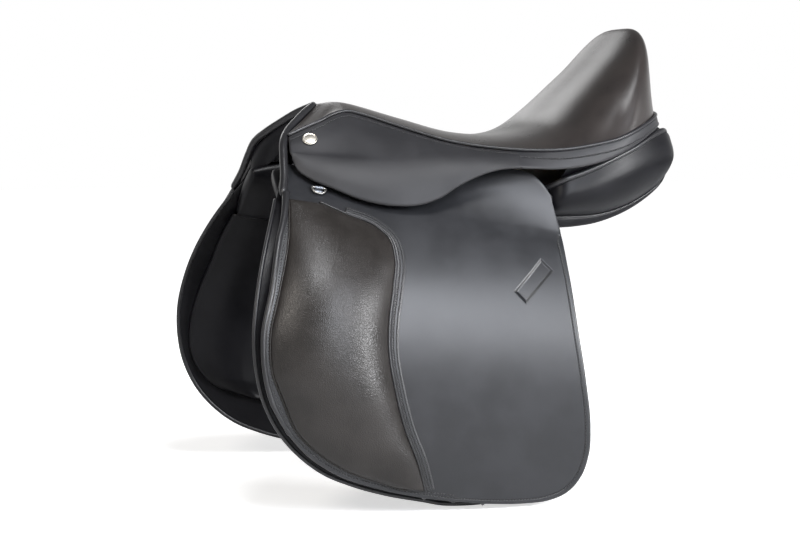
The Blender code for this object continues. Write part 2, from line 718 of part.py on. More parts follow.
def bulged(top, bottom, rows, bulge):
    """Grid between two edges that stands out by a share of its height."""
    share = np.linspace(0.0, 1.0, rows)[:, None, None]
    grid = top[None] + (bottom - top)[None] * share
    height = np.linalg.norm(bottom - top, axis=-1)[None, :, None]
    out = np.array([0.0, 0.72, 0.69])
    return grid + out * height * bulge * 4.0 * share * (1.0 - share)


def make_skirts(saddle, side):
    """Fixed band along the welt, moving skirt and stud."""
    name = SIDES[side]
    outward = (0.0, side, 0.3)
    edge = skirt_top_edge(200)
    rear_x = SKIRT_FOLD_REAR[0]
    front_xs = np.linspace(edge[0, 0], rear_x - 0.001, 13)
    top = np.stack([np.interp(front_xs, edge[:150, 0], edge[:150, k]) for k in range(3)], axis=1)
    fold_x = np.linspace(SKIRT_FOLD_FRONT[0], rear_x, 13)
    low = on_skirt_fold(fold_x)
    low = low - unit(low - top) * FOLD_GAP / 2.0
    rear = edge[edge[:, 0] > rear_x + 0.001]
    rear_top = cubic_path(rear, 16)
    rear_top[-1, 1] = STRIP_LOWER[-1][1]
    rear_low = cubic_path(STRIP_LOWER, 16)
    band = bulged(np.concatenate([top, rear_top]), np.concatenate([low, rear_low]), 3, 0.02)
    band_name = "skirt_band_" + name
    made = saddle.add(band_name, sheet_mesh(band_name, sided(band, side), outward), BLACK)
    thicken(made, SKIRT_LEATHER)
    make_stud(saddle, side, made, band)

    fold_point = sided(np.array(SKIRT_FOLD_FRONT), side)
    pivot = saddle.axis("skirt_axis_" + name, fold_point)
    leaf_top = on_skirt_fold(np.linspace(SKIRT_FOLD_FRONT[0], rear_x - 0.003, SKIRT_COLUMNS))
    leaf_low = cubic_path(SKIRT_LOWER, SKIRT_COLUMNS)
    leaf_top = leaf_top + unit(leaf_low - leaf_top) * FOLD_GAP / 2.0
    leaf = bulged(leaf_top, leaf_low, 5, SKIRT_BULGE)
    leaf_name = "skirt_" + name
    made = saddle.add(leaf_name, sheet_mesh(leaf_name, sided(leaf, side), outward), BLACK, pivot)
    thicken(made, SKIRT_LEATHER)


def lathe_mesh(name, profile, frame, sides=24):
    """Body turned from (radius, height) points about its frame's local Z."""
    angles = np.linspace(0.0, 2.0 * math.pi, sides, endpoint=False)
    rings = [[(r * math.cos(a), r * math.sin(a), h) for a in angles] for r, h in profile]
    mesh = loft_mesh(name, np.array(rings))
    mesh.transform(frame)
    return mesh


def make_stud(saddle, side, band, grid):
    """Round stud on the skirt band, with its shank in a hole through the leather."""
    column = int(np.argmin(np.abs(grid[1, :20, 0] - STUD_X)))
    point = grid[1, column]
    run = grid[1, column + 1] - grid[1, column - 1]
    normal = np.cross(run, grid[0, column] - grid[2, column])
    if normal[1] < 0.0:
        normal = -normal
    frame = frame_at(sided(point, side), sided(run, side), sided(normal, side))
    hole = cylinder_mesh("stud_hole", STUD_SHANK_RADIUS + 0.0004, 0.03, frame)
    cut(band, hole, "stud_hole_" + SIDES[side], saddle)
    rim, height = STUD_RADIUS, STUD_HEIGHT
    foot = -SKIRT_LEATHER - 0.0006
    profile = [(0.6 * STUD_SHANK_RADIUS, foot - 0.0004), (STUD_SHANK_RADIUS, foot),
               (STUD_SHANK_RADIUS, 0.0005), (rim - 0.0004, 0.0005), (rim, 0.0009),
               (rim - 0.0003, 0.0014), (0.82 * rim, height - 0.0003), (0.5 * rim, height),
               (0.1 * rim, height + 0.0001)]
    name = "stud_" + SIDES[side]
    saddle.add(name, lathe_mesh(name, profile, frame), NICKEL)


def make_ring(saddle, side):
    """D ring hanging from its keeper on the flap head."""
    name = SIDES[side]
    here = flap_points(RING_X, RING_LEVEL, -RING_STAND)
    ahead = flap_points(RING_X + 0.01, RING_LEVEL, -RING_STAND)
    below = flap_points(RING_X, RING_LEVEL - 0.006, -RING_STAND)
    along = unit(ahead - here)
    down = below - here
    down = unit(down - along * np.dot(down, along))
    out = np.cross(along, down)
    if out[1] < 0.0:
        out = -out
    angles = np.linspace(0.0, math.pi, 13)
    wide, tall = RING_HALF_WIDTH, RING_HEIGHT
    path = here + along * (wide * np.cos(angles))[:, None] + down * (tall * np.sin(angles))[:, None]
    pivot = saddle.axis("ring_axis_" + name, sided(here, side))
    ring = "d_ring_" + name
    saddle.add(ring, tube_mesh(ring, sided(path, side), RING_WIRE, 8, True), NICKEL, pivot)

    keeper = "ring_keeper_" + name
    thick = 2.0 * (RING_STAND - 2 * CLEARANCE)
    frame = frame_at(sided(here, side), sided(along, side), sided(out, side))
    size = (RING_KEEPER_WIDTH, RING_KEEPER_HEIGHT, thick)
    made = saddle.add(keeper, box_mesh(keeper, size, frame), STEEL)
    turned = frame_at(sided(here, side), sided(out, side), sided(along, side))
    cut(made, cylinder_mesh("keeper_hole", RING_WIRE + CLEARANCE, 0.03, turned), keeper + "_hole", saddle)


def make_flap(saddle, side):
    """Fixed flap head, moving flap, knee pad and its stitched band."""
    name = SIDES[side]
    outward = (0.0, side, 0.2)
    share = np.linspace(1.0, 0.0, 4)[:, None]
    ends = np.linspace(0.0, 1.0, FLAP_LIFT_COLUMNS)[None, :]
    low = FOLD_LEVEL + FOLD_GAP / 2.0
    front_x = edge_at(low + (HEAD_TOP_LEVEL - low) * share, FLAP_FRONT) + 2 * BINDING_RADIUS - 0.0015
    rear_x = edge_at(low + (0.060 - low) * share, FLAP_REAR)
    x = front_x + (rear_x - front_x) * ends
    top = np.interp(x, [-0.100, -0.040, 0.050], [HEAD_TOP_LEVEL, 0.070, HEAD_TOP_REAR_LEVEL])
    grid = flap_points(x, low + (top - low) * share, 0.0)
    head = "flap_head_" + name
    thicken(saddle.add(head, sheet_mesh(head, sided(grid, side), outward), BLACK), FLAP_LEATHER)

    pivot_point = sided(flap_points(-0.250, FOLD_LEVEL), side)
    pivot = saddle.axis("flap_axis_" + name, pivot_point)
    levels = np.array(LEVELS)
    levels[0] -= FOLD_GAP / 2.0
    grid = layer_grid(levels, edge_at(levels, FLAP_FRONT), edge_at(levels, FLAP_REAR),
                      FLAP_LIFT_COLUMNS, 0.0)
    leaf = "flap_" + name
    made = saddle.add(leaf, sheet_mesh(leaf, sided(grid, side), outward), BLACK, pivot)
    thicken(made, FLAP_LEATHER)

    rows = slice(*PAD_ROWS)
    pad_levels = np.array(LEVELS)[rows]
    front, rear = edge_at(pad_levels, PAD_FRONT), edge_at(pad_levels, PAD_REAR)
    base = layer_grid(pad_levels, front, rear, PAD_COLUMNS, -CLEARANCE)
    across = np.linspace(0.0, 1.0, PAD_COLUMNS)[None, :]
    along = np.interp(pad_levels, [-0.262, -0.235, -0.050, 0.007], [0.35, 0.8, 1.0, 0.25])
    crown = PAD_CROWN * along[:, None] * np.sin(math.pi * across) ** 0.7
    top = layer_grid(pad_levels, front, rear, PAD_COLUMNS, -CLEARANCE - PAD_EDGE)
    top[..., 1] += crown
    pad = "knee_pad_" + name
    saddle.add(pad, slab_mesh(pad, sided(top, side), sided(base, side)), BROWN_BLACK, pivot)

    edge = cubic_path(PAD_REAR[2:], 22)
    edge = edge[edge[:, 0] < LEVELS[1] - 0.001]
    run = np.gradient(edge, axis=0)
    out = unit(np.stack([-run[:, 1], run[:, 0]], axis=1))
    if out[len(out) // 2, 1] < 0.0:
        out = -out
    near = edge + out * 0.0022
    far = edge + out * PAD_BAND_WIDTH
    flat = np.stack([near, (near + far) / 2.0, far], axis=0)
    band = flap_points(flat[..., 1], flat[..., 0], -CLEARANCE - 0.0003 - PAD_BAND_THICKNESS)
    strip = "pad_band_" + name
    made = saddle.add(strip, sheet_mesh(strip, sided(band, side), outward), BLACK, pivot)
    thicken(made, PAD_BAND_THICKNESS)


def make_sweat_flap(saddle, side):
    """Sweat flap under the girth straps."""
    name = "sweat_flap_" + SIDES[side]
    levels = np.array([0.034] + LEVELS[:-1] + [-0.282])
    grid = layer_grid(levels, edge_at(levels, SWEAT_FRONT), edge_at(levels, SWEAT_REAR), 8, SWEAT_DEPTH)
    made = saddle.add(name, sheet_mesh(name, sided(grid, side), (0, side, 0.2)), SOFT_BLACK)
    thicken(made, SWEAT_LEATHER)


def make_head(saddle):
    """Steel arch, front binding and the lining under the arch."""
    levels = np.array([0.040, 0.028, FOLD_LEVEL, 0.002])
    edges = []
    for reach in (-HEAD_PLATE_WIDTH / 2.0, HEAD_PLATE_WIDTH / 2.0):
        arch = np.array(HEAD_PLATE_ARCH) + np.array([1.0, 0.0, -FOLD_TILT]) * reach
        arm = flap_points(HEAD_ARM_X + reach, levels, FLAP_LEATHER + 3 * CLEARANCE)
        half = np.concatenate([arch, arm])
        edges.append(np.concatenate([sided(half[:0:-1], LEFT), sided(half, RIGHT)]))
    plate = sheet_mesh("head_plate", np.stack(edges, axis=1), (0, 0, 1))
    plate = saddle.add("head_plate", plate, STEEL)
    thicken(plate, HEAD_PLATE_THICKNESS)

    half = cubic_path(HEAD_ARCH, 14)
    path = np.concatenate([sided(half[:0:-1], LEFT), sided(half, RIGHT)])
    saddle.add("head_binding", tube_mesh("head_binding", path, BINDING_RADIUS, 8), BLACK)

    front = np.array(LINING_FRONT)
    back = np.array(LINING_BACK)
    rows = []
    for half in (front, (front + back) / 2.0, back):
        rows.append(np.concatenate([sided(half[:0:-1], LEFT), sided(half, RIGHT)]))
    lining = sheet_mesh("gullet_lining", np.stack(rows), (0, 0, 1))
    thicken(saddle.add("gullet_lining", lining, LINING), LINING_THICKNESS)


def make_straps(saddle, side):
    """Three girth straps, the webbing that carries them and their buckle guard."""
    name = SIDES[side]
    outward = (0.0, side, 0.2)
    levels = np.array([STRAP_TOP_LEVEL] + LEVELS[:12] + [STRAP_END_LEVEL + STRAP_POINT, STRAP_END_LEVEL])
    pivots = []
    for index, place in enumerate(("front", "middle", "rear")):
        x = STRAP_MIDDLE_X + (index - 1) * STRAP_PITCH
        half = np.full(len(levels), STRAP_WIDTH / 2.0)
        half[-1] = STRAP_WIDTH / 7.0
        grid = layer_grid(levels, x - half, x + half, 3, STRAP_DEPTH)
        pivot = saddle.axis(f"strap_axis_{place}_{name}",
                            sided(flap_points(x, STRAP_PIVOT_LEVEL, STRAP_DEPTH), side))
        strap = f"girth_strap_{place}_{name}"
        made = saddle.add(strap, sheet_mesh(strap, sided(grid, side), outward), STRAP, pivot)
        thicken(made, STRAP_LEATHER)
        pivots.append(pivot)

    reach = STRAP_PITCH + STRAP_WIDTH / 2.0
    web_levels = np.array([0.046, STRAP_TOP_LEVEL, FOLD_LEVEL, 0.007])
    ends = np.full(len(web_levels), reach)
    depth = STRAP_DEPTH + STRAP_LEATHER + SLIDE_CLEARANCE
    grid = layer_grid(web_levels, STRAP_MIDDLE_X - ends, STRAP_MIDDLE_X + ends, 4, depth)
    web = "girth_web_" + name
    made = saddle.add(web, sheet_mesh(web, sided(grid, side), outward), WEB)
    thicken(made, SWEAT_DEPTH - depth - CLEARANCE)

    make_guard(saddle, side, pivots[1], reach)


def make_guard(saddle, side, pivot, reach):
    """Buckle guard: a plate outside the straps with a loop behind them."""
    name = "buckle_guard_" + SIDES[side]
    start, end = STRAP_MIDDLE_X - reach - GUARD_MARGIN, STRAP_MIDDLE_X + reach + GUARD_MARGIN
    levels = np.array([GUARD_TOP_LEVEL, GUARD_LOOP_END_LEVEL, -0.135, GUARD_END_LEVEL])
    across = np.array([start, start + GUARD_WALL, end - GUARD_WALL, end])
    depths = [GUARD_DEPTH, GUARD_DEPTH + GUARD_LEATHER, LOOP_DEPTH, LOOP_DEPTH + GUARD_LOOP_LEATHER]
    grids = [flap_points(across[None, :], levels[:, None], depth) for depth in depths]
    face, back, loop, loop_back = np.arange(4 * levels.size * 4).reshape(4, levels.size, 4)

    def quads(first, second):
        return np.stack([first[:-1], first[1:], second[1:], second[:-1]], axis=-1).tolist()

    faces = []
    for row in range(levels.size - 1):
        faces += quads(face[row], face[row + 1])
        inside = slice(1, 3) if row == 0 else slice(0, 4)
        faces += quads(back[row, inside], back[row + 1, inside])
        faces += [[int(i) for i in (face[row, c], face[row + 1, c], back[row + 1, c], back[row, c])]
                  for c in (0, 3)]
    for column, stack in ((0, (back, loop, loop_back)), (3, (back, loop, loop_back)),
                          (1, (back, loop)), (2, (back, loop))):
        for near, far in zip(stack[:-1], stack[1:]):
            faces.append([int(i) for i in (near[0, column], near[1, column],
                                           far[1, column], far[0, column])])
    faces += quads(loop[0, 1:3], loop[1, 1:3]) + quads(loop_back[0], loop_back[1])
    faces += quads(face[0], back[0]) + quads(face[-1], back[-1])
    for row in (0, 1):
        faces += quads(loop[row], loop_back[row])
        faces += quads(back[row, :2], loop[row, :2]) + quads(back[row, 2:], loop[row, 2:])
    verts = sided(np.stack(grids).reshape(-1, 3), side)
    used = np.unique(np.concatenate([np.array(f) for f in faces]))
    place = {int(old): new for new, old in enumerate(used)}
    mesh = mesh_from(name, verts[used], [[place[i] for i in f] for f in faces])
    saddle.add(name, mesh, BLACK, pivot)


def bar_line():
    """Front end, rear end and direction of the stirrup bar, which stands off the flap head."""
    front = flap_points(BAR_FRONT_X, BAR_LEVEL, -BAR_STAND)
    along = unit(flap_points(BAR_AIM_X, BAR_AIM_LEVEL, -BAR_STAND) - front)
    return front, front + along * BAR_LENGTH, along


def make_stirrup_bar(saddle, side, grid):
    """Bar plate on the tree, stirrup bar, hinged safety catch and its pin."""
    name = SIDES[side]
    front, rear, along = bar_line()
    normal = unit(np.array(BAR_NORMAL))

    def placed(point, x_axis=along, z_axis=normal):
        return frame_at(sided(np.array(point), side), sided(x_axis, side), sided(z_axis, side))

    rail = seat_under(grid, TREE_DROP + TREE_THICKNESS)[2:9, SEAT_COLUMNS - 1 - FOAM_EDGE_COLUMNS]
    xs = np.linspace(front[0] + 0.022, rear[0] + 0.004, 4)
    top = np.stack([np.interp(xs, rail[:, 0], rail[:, k]) for k in range(3)], axis=1)
    top = top + np.array(BAR_PLATE_SHIFT)
    low = top + np.array(BAR_PLATE_DROP)
    plate = "bar_plate_" + name
    sheet = np.stack([top, low])
    made = saddle.add(plate, sheet_mesh(plate, sided(sheet, side), (0, side, 1)), STEEL)
    thicken(made, BAR_PLATE_THICKNESS)

    bar_name = "stirrup_bar_" + name
    thick = BAR_LENGTH - CATCH_SEAT
    size = (thick, BAR_HEIGHT, BAR_THICKNESS)
    bar = saddle.add(bar_name, box_mesh(bar_name, size, placed(front + along * thick / 2.0)), STEEL)
    tongue_drop = (BAR_THICKNESS - TONGUE_THICKNESS) / 2.0
    middle = rear - along * (CATCH_SEAT + 0.004) / 2.0 - normal * tongue_drop
    tongue = box_mesh(bar_name, (CATCH_SEAT + 0.004, BAR_HEIGHT - 0.001, TONGUE_THICKNESS), placed(middle))
    unite(bar, tongue, bar_name + "_tongue", saddle)
    for share in (0.36, 0.76):
        point = front + along * BAR_LENGTH * share
        above = np.array([point[0], np.interp(point[0], xs, low[:, 1]), np.interp(point[0], xs, low[:, 2])])
        root = above + normal * (BAR_THICKNESS * 0.35 + CLEARANCE)
        root = root - along * np.dot(root - point, along)
        reach = point - root
        size = (np.linalg.norm(reach), BAR_ARM, BAR_THICKNESS * 0.7)
        arm = box_mesh(bar_name, size, placed((point + root) / 2.0, reach, normal))
        unite(bar, arm, f"{bar_name}_arm_{share}", saddle)

    hinge = rear - along * CATCH_SEAT / 2.0
    pin_place = placed(hinge)
    catch_place = placed(hinge + along * (CATCH_LENGTH / 2.0 - CATCH_TAIL)
                         + normal * (BAR_THICKNESS - CATCH_THICKNESS) / 2.0)
    hole = cylinder_mesh("pin_hole", CATCH_PIN_RADIUS + CLEARANCE, 0.03, pin_place)
    cut(bar, hole, bar_name + "_pin_hole", saddle)
    pivot = saddle.axis("catch_axis_" + name, sided(hinge, side))
    catch = "safety_catch_" + name
    mesh = box_mesh(catch, (CATCH_LENGTH, CATCH_HEIGHT, CATCH_THICKNESS), catch_place)
    made = saddle.add(catch, mesh, STEEL, pivot)
    tool = saddle.cutter(catch + "_pin_hole", cylinder_mesh(
        "pin_hole", CATCH_PIN_RADIUS + CLEARANCE, 0.03, pin_place))
    boolean(made, tool, "DIFFERENCE")
    pin = "catch_pin_" + name
    mesh = cylinder_mesh(pin, CATCH_PIN_RADIUS, BAR_THICKNESS + 0.001, pin_place)
    saddle.add(pin, mesh, STEEL)


def make_panels(saddle, side):
    """Bearing panel, lower front panel and rear gusset."""
    name = SIDES[side]
    rings = []
    for x in PANEL_FRONT_STATIONS:
        bottom = np.interp(x, [-0.100, 0.0, 0.030], [PANEL_BOTTOM_LEVEL, 0.010, 0.0245])
        upper = np.interp(x, [-0.060, 0.0, 0.030], [STRAP_TOP_LEVEL + 0.004, 0.044, 0.066])
        share = np.interp(x, [-0.100, 0.0], [0.0, 1.0])
        levels = np.array([upper, FOLD_LEVEL, 0.007, -0.004, bottom])
        levels += (np.linspace(upper, bottom, 5) - levels) * share
        outer = flap_points(x, levels, PANEL_DEPTH)
        thick = PANEL_THICKNESS * np.interp(x, [-0.246, -0.225], [0.55, 1.0])
        sag = np.interp(x, [-0.100, 0.0, 0.030], [0.0, 0.006, 0.010])
        belly = outer[-1] - np.array([[0.0, 0.06, 0.1], [0.0, 0.35, 1.0], [0.0, 1.0, 1.0]]) * (1.0, thick, sag)
        gullet = np.interp(x, [-0.246, -0.150], [PANEL_GULLET_FRONT, PANEL_GULLET])
        edge_z = np.interp(x, [-0.246, -0.150, 0.030], [0.048, 0.034, 0.034])
        top_z = np.interp(x, [-0.246, -0.200, 0.030], [0.062, 0.070, 0.064])
        rings.append([(x, gullet, top_z), *outer, *belly, (x, gullet, edge_z)])
    for x, upper, lower, sag, edge_z, top_z in PANEL_REAR_STATIONS:
        wall = gusset_wall(x, upper, lower, GUSSET_THICKNESS + 6 * CLEARANCE)
        wall[-1, 2] -= 4 * CLEARANCE
        low = lower[1] - sag
        belly = [(x, lower[0] - 0.001, lower[1] - 4 * CLEARANCE), (x, lower[0] - 0.007, low),
                 (x, (lower[0] + PANEL_GULLET) / 2.0, (low + edge_z) / 2.0 - 0.006)]
        rings.append([(x, PANEL_GULLET, top_z), *wall, *belly, (x, PANEL_GULLET, edge_z)])
    panel = "panel_" + name
    mesh = loft_mesh(panel, sided(np.array([[tuple(p) for p in ring] for ring in rings]), side))
    saddle.add(panel, mesh, SOFT_BLACK)

    walls, backs = [], []
    for x, upper, lower, *_ in PANEL_REAR_STATIONS:
        walls.append(gusset_wall(x, upper, lower, 0.0))
        backs.append(gusset_wall(x, upper, lower, GUSSET_THICKNESS))
    gusset = "rear_gusset_" + name
    mesh = slab_mesh(gusset, sided(np.array(walls), side), sided(np.array(backs), side))
    saddle.add(gusset, mesh, SOFT_BLACK)

    rear_edge = cubic_path(STRIP_LOWER, 60)
    kept = (rear_edge[:, 0] > FACING_FRONT_X) & (rear_edge[:, 1] > FACING_REAR_HALF)
    top = cubic_path(rear_edge[kept][::4], 9) + np.array(FACING_TOP_INSET)
    uppers = [(station[0], *station[1]) for station in PANEL_REAR_STATIONS[:-1]]
    low = cubic_path(uppers, 9) + np.array(FACING_LOW_INSET)
    facing = "rear_facing_" + name
    sheet = sheet_mesh(facing, sided(np.stack([top, (top + low) / 2.0, low]), side), (0, side, 0))
    thicken(saddle.add(facing, sheet, BLACK), FACING_LEATHER)

    levels = np.array([PANEL_BOTTOM_LEVEL - 0.001] + LEVELS[4:13])
    front, rear = edge_at(levels, FRONT_PANEL_FRONT), edge_at(levels, FRONT_PANEL_REAR)
    columns = len(FRONT_PANEL_PROFILE)
    outer = layer_grid(levels, front, rear, columns, PANEL_DEPTH)
    taper = np.interp(levels, [-0.236, -0.215, -0.030, -0.013], [0.35, 0.8, 1.0, 0.9])
    inner = layer_grid(levels, front, rear, columns, PANEL_DEPTH)
    depth = FRONT_PANEL_THICKNESS * taper[:, None] * np.array(FRONT_PANEL_PROFILE)[None, :]
    inner[..., 1] -= depth * np.sqrt(1.0 + flap_slope(levels[:, None]) ** 2)
    lower = "front_panel_" + name
    saddle.add(lower, slab_mesh(lower, sided(outer, side), sided(inner, side)), SOFT_BLACK)


def gusset_wall(x, upper, lower, depth):
    """Points down the rear gusset's bulging wall at a depth."""
    share = np.linspace(0.0, 1.0, 5)
    u = upper[0] + (lower[0] - upper[0]) * share + 4.0 * GUSSET_BULGE * share * (1.0 - share)
    z = upper[1] + (lower[1] - upper[1]) * share
    return np.stack([np.full(5, x), u - depth, z], axis=1)


def main():
    """Build the saddle."""
    saddle = Saddle()
    grid = make_seat(saddle)
    make_welt(saddle)
    make_head(saddle)
    for side in (LEFT, RIGHT):
        make_skirts(saddle, side)
        make_flap(saddle, side)
        make_ring(saddle, side)
        make_sweat_flap(saddle, side)
        make_straps(saddle, side)
        make_stirrup_bar(saddle, side, grid)
        make_panels(saddle, side)


if __name__ == "__main__":
    main()
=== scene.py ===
"""All-purpose English saddle, dressed in leather, thread, foam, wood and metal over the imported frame.

Frame: +X to the cantle, -Y to the near (left) side, +Z up, in metres. A point of one side is
(x, half width, z), and `sided` turns its half width into Y. Each surface is a numpy grid.
"""

import json
import logging
import math
from dataclasses import dataclass, field
from enum import Enum
from typing import Callable

import bmesh
import bpy
import numpy as np
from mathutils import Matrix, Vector

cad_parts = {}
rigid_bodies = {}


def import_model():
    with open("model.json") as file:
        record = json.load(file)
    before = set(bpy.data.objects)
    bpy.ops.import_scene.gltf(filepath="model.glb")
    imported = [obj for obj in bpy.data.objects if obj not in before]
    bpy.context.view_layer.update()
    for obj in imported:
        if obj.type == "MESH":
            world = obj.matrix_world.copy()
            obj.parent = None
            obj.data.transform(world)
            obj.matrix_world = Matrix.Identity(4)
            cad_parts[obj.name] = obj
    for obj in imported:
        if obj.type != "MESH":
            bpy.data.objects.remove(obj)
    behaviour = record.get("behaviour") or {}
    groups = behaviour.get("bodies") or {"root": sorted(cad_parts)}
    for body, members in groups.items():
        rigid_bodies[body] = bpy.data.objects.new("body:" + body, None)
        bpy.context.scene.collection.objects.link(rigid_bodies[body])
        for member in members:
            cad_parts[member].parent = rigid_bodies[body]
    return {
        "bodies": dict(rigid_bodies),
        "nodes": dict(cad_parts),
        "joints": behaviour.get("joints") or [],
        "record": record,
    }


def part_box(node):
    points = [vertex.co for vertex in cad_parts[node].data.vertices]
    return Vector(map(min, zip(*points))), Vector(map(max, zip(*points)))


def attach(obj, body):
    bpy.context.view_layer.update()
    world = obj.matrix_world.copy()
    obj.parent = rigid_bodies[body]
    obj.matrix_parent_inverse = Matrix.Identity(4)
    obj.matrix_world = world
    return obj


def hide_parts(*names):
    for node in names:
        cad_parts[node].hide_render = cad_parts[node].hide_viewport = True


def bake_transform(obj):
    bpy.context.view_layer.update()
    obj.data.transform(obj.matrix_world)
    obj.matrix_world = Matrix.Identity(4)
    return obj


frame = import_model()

LOG = logging.getLogger("saddle")
Points = np.ndarray
CLEARANCE = 0.0004
UP = (0.0, 0.0, 1.0)
SIDEWAYS = (0.0, 1.0, 0.2)


class Side(Enum):
    """A side of the horse, with the sign of its Y."""

    LEFT = -1
    RIGHT = 1

    @property
    def tag(self) -> str:
        """The side's word in the names of pieces."""
        return self.name.lower()

    def of(self, name: str) -> str:
        """A name with the side's word at its end."""
        return f"{name}_{self.tag}"


# Curves and grids


def unit(vectors: Points) -> Points:
    """Vectors scaled to length one."""
    vectors = np.asarray(vectors, float)
    return vectors / np.maximum(np.linalg.norm(vectors, axis=-1, keepdims=True), 1e-12)


def hermite(at: Points, knots: Points, where: Points) -> Points:
    """Cubic through knots: p(t) = h00 a + h10 m_a + h01 b + h11 m_b between neighbours a and b.

    Args:
        at: Rising position of each knot.
        knots: Rows of values, one for each position.
        where: Positions to read.

    Returns:
        One row of values for each position read.
    """
    slope = np.gradient(knots, at, axis=0)
    index = np.clip(np.searchsorted(at, where, side="right") - 1, 0, len(at) - 2)
    shape = (-1,) + (1,) * (knots.ndim - 1)
    width = (at[index + 1] - at[index]).reshape(shape)
    t = ((where - at[index]) / (at[index + 1] - at[index])).reshape(shape)
    start, end = knots[index], knots[index + 1]
    return (start * (2 * t**3 - 3 * t**2 + 1) + end * (3 * t**2 - 2 * t**3)
            + slope[index] * width * (t**3 - 2 * t**2 + t)
            + slope[index + 1] * width * (t**3 - t**2))


def by_row(points: Points, count: int) -> Points:
    """Smooth rows through evenly numbered knots.

    Args:
        points: Knots, one row each; plain numbers become rows of one.
        count: Number of rows wanted.

    Returns:
        The rows.
    """
    knots = np.asarray(points, float)
    knots = knots[:, None] if knots.ndim == 1 else knots
    at = np.arange(len(knots), dtype=float)
    return hermite(at, knots, np.linspace(0.0, at[-1], count))


def lengths(path: Points) -> Points:
    """Distance along a path at each of its points."""
    steps = np.linalg.norm(np.diff(path, axis=0), axis=-1)
    return np.concatenate([np.zeros((1,) + steps.shape[1:]), np.cumsum(steps, axis=0)])


def cubic_path(points: Points, count: int) -> Points:
    """Smooth path of count points through knots spaced by their chords."""
    knots = np.asarray(points, float)
    at = lengths(knots)
    return hermite(at, knots, np.linspace(0.0, at[-1], count))


def even_path(path: Points, step: float, offset: float = 0.0) -> Points:
    """Points along a path at equal distances.

    Args:
        path: Points, any number of values each.
        step: Distance wanted; it is rounded so that whole steps fit.
        offset: Share of a step left free at both ends.

    Returns:
        The points.
    """
    at = lengths(path[:, :3])
    count = max(int(round(at[-1] / step)) + 1, 2)
    where = np.linspace(offset * step, at[-1] - offset * step, count)
    return np.stack([np.interp(where, at, path[:, k]) for k in range(path.shape[1])], axis=1)


def grid_normals(grid: Points, outward: Points) -> Points:
    """Unit normals of a grid: the cross product of its row and column directions, turned outwards.

    Args:
        grid: Points in rows and columns.
        outward: Direction that the grid looks in, roughly.

    Returns:
        One normal for each point.
    """
    normals = unit(np.cross(np.gradient(grid, axis=0), np.gradient(grid, axis=1)))
    return -normals if np.sum(normals.reshape(-1, 3) @ np.asarray(outward, float)) < 0.0 else normals


def sided(points: Points, side: Side) -> Points:
    """Points with half width turned into Y on a side."""
    result = np.array(points, float)
    result[..., 1] *= side.value
    return result


def at_distance(grid: Points, normals: Points, distance: float) -> tuple:
    """Line across a grid at one distance from its first row, measured down each column.

    Args:
        grid: Points in rows and columns.
        normals: Normal at each point.
        distance: Distance down the surface.

    Returns:
        One point for each column, and the normals there.
    """
    run = lengths(grid)
    index = np.clip((run < distance).sum(axis=0) - 1, 0, len(grid) - 2)
    column = np.arange(grid.shape[1])
    low, high = run[index, column], run[index + 1, column]
    share = ((distance - low) / np.maximum(high - low, 1e-9))[:, None]
    line = grid[index, column] * (1.0 - share) + grid[index + 1, column] * share
    return line, unit(normals[index, column])


def between(first: Points, second: Points, rows: int) -> Points:
    """Grid of straight rows from one line to another."""
    share = np.linspace(0.0, 1.0, rows)[:, None, None]
    return first[None] + (second - first)[None] * share


def columns_between(front: Points, rear: Points, share: Points) -> Points:
    """One row of values between a front and a rear value for each pair, by shares from 0 to 1."""
    return front[:, None] + (rear - front)[:, None] * share


def refined(grid: Points, rows: int, columns: int) -> Points:
    """Grid drawn again with more rows and columns, smooth both ways."""
    smooth = by_row(grid, rows)
    return by_row(smooth.transpose(1, 0, 2), columns).transpose(1, 0, 2)


def blended(value: Points, low: float, high: float) -> Points:
    """Smooth step: 0 below low, 1 above high, 3t^2 - 2t^3 between."""
    t = np.clip((np.asarray(value, float) - low) / (high - low), 0.0, 1.0)
    return t * t * (3.0 - 2.0 * t)


# Meshes


def linked(name: str, data: bpy.types.ID) -> bpy.types.Object:
    """New object of some data, linked to the scene."""
    made = bpy.data.objects.new(name, data)
    bpy.context.scene.collection.objects.link(made)
    return made


def closed_mesh(name: str, verts: Points, faces: list) -> bpy.types.Object:
    """Object of one smooth mesh whose faces are turned outwards.

    Args:
        name: Name of the piece.
        verts: Points of the mesh.
        faces: Lists of point numbers.

    Returns:
        The object, linked to the scene.
    """
    mesh = bpy.data.meshes.new(name)
    mesh.from_pydata(np.asarray(verts, float).tolist(), [], faces)
    work = bmesh.new()
    work.from_mesh(mesh)
    bmesh.ops.recalc_face_normals(work, faces=work.faces)
    work.to_mesh(mesh)
    work.free()
    mesh.polygons.foreach_set("use_smooth", np.ones(len(mesh.polygons), bool))
    return linked(name, mesh)


def strip_quads(first: Points, second: Points) -> Points:
    """Quads between two lines of point numbers."""
    return np.stack([first[:-1], first[1:], second[1:], second[:-1]], axis=-1)


def grid_quads(index: Points) -> list:
    """Quads of a grid of point numbers."""
    quads = np.stack([index[:-1, :-1], index[:-1, 1:], index[1:, 1:], index[1:, :-1]], axis=-1)
    return quads.reshape(-1, 4).tolist()


def border(index: Points) -> Points:
    """Point numbers round a grid's border, closed on the first."""
    return np.concatenate([index[0], index[1:, -1], index[-1, -2::-1], index[-2::-1, 0]])


def edge_directions(grid: Points) -> Points:
    """Directions out of a grid at its border, zero inside it."""
    out = np.zeros_like(grid)
    out[0] += unit(grid[0] - grid[1])
    out[-1] += unit(grid[-1] - grid[-2])
    out[:, 0] += unit(grid[:, 0] - grid[:, 1])
    out[:, -1] += unit(grid[:, -1] - grid[:, -2])
    return unit(out)


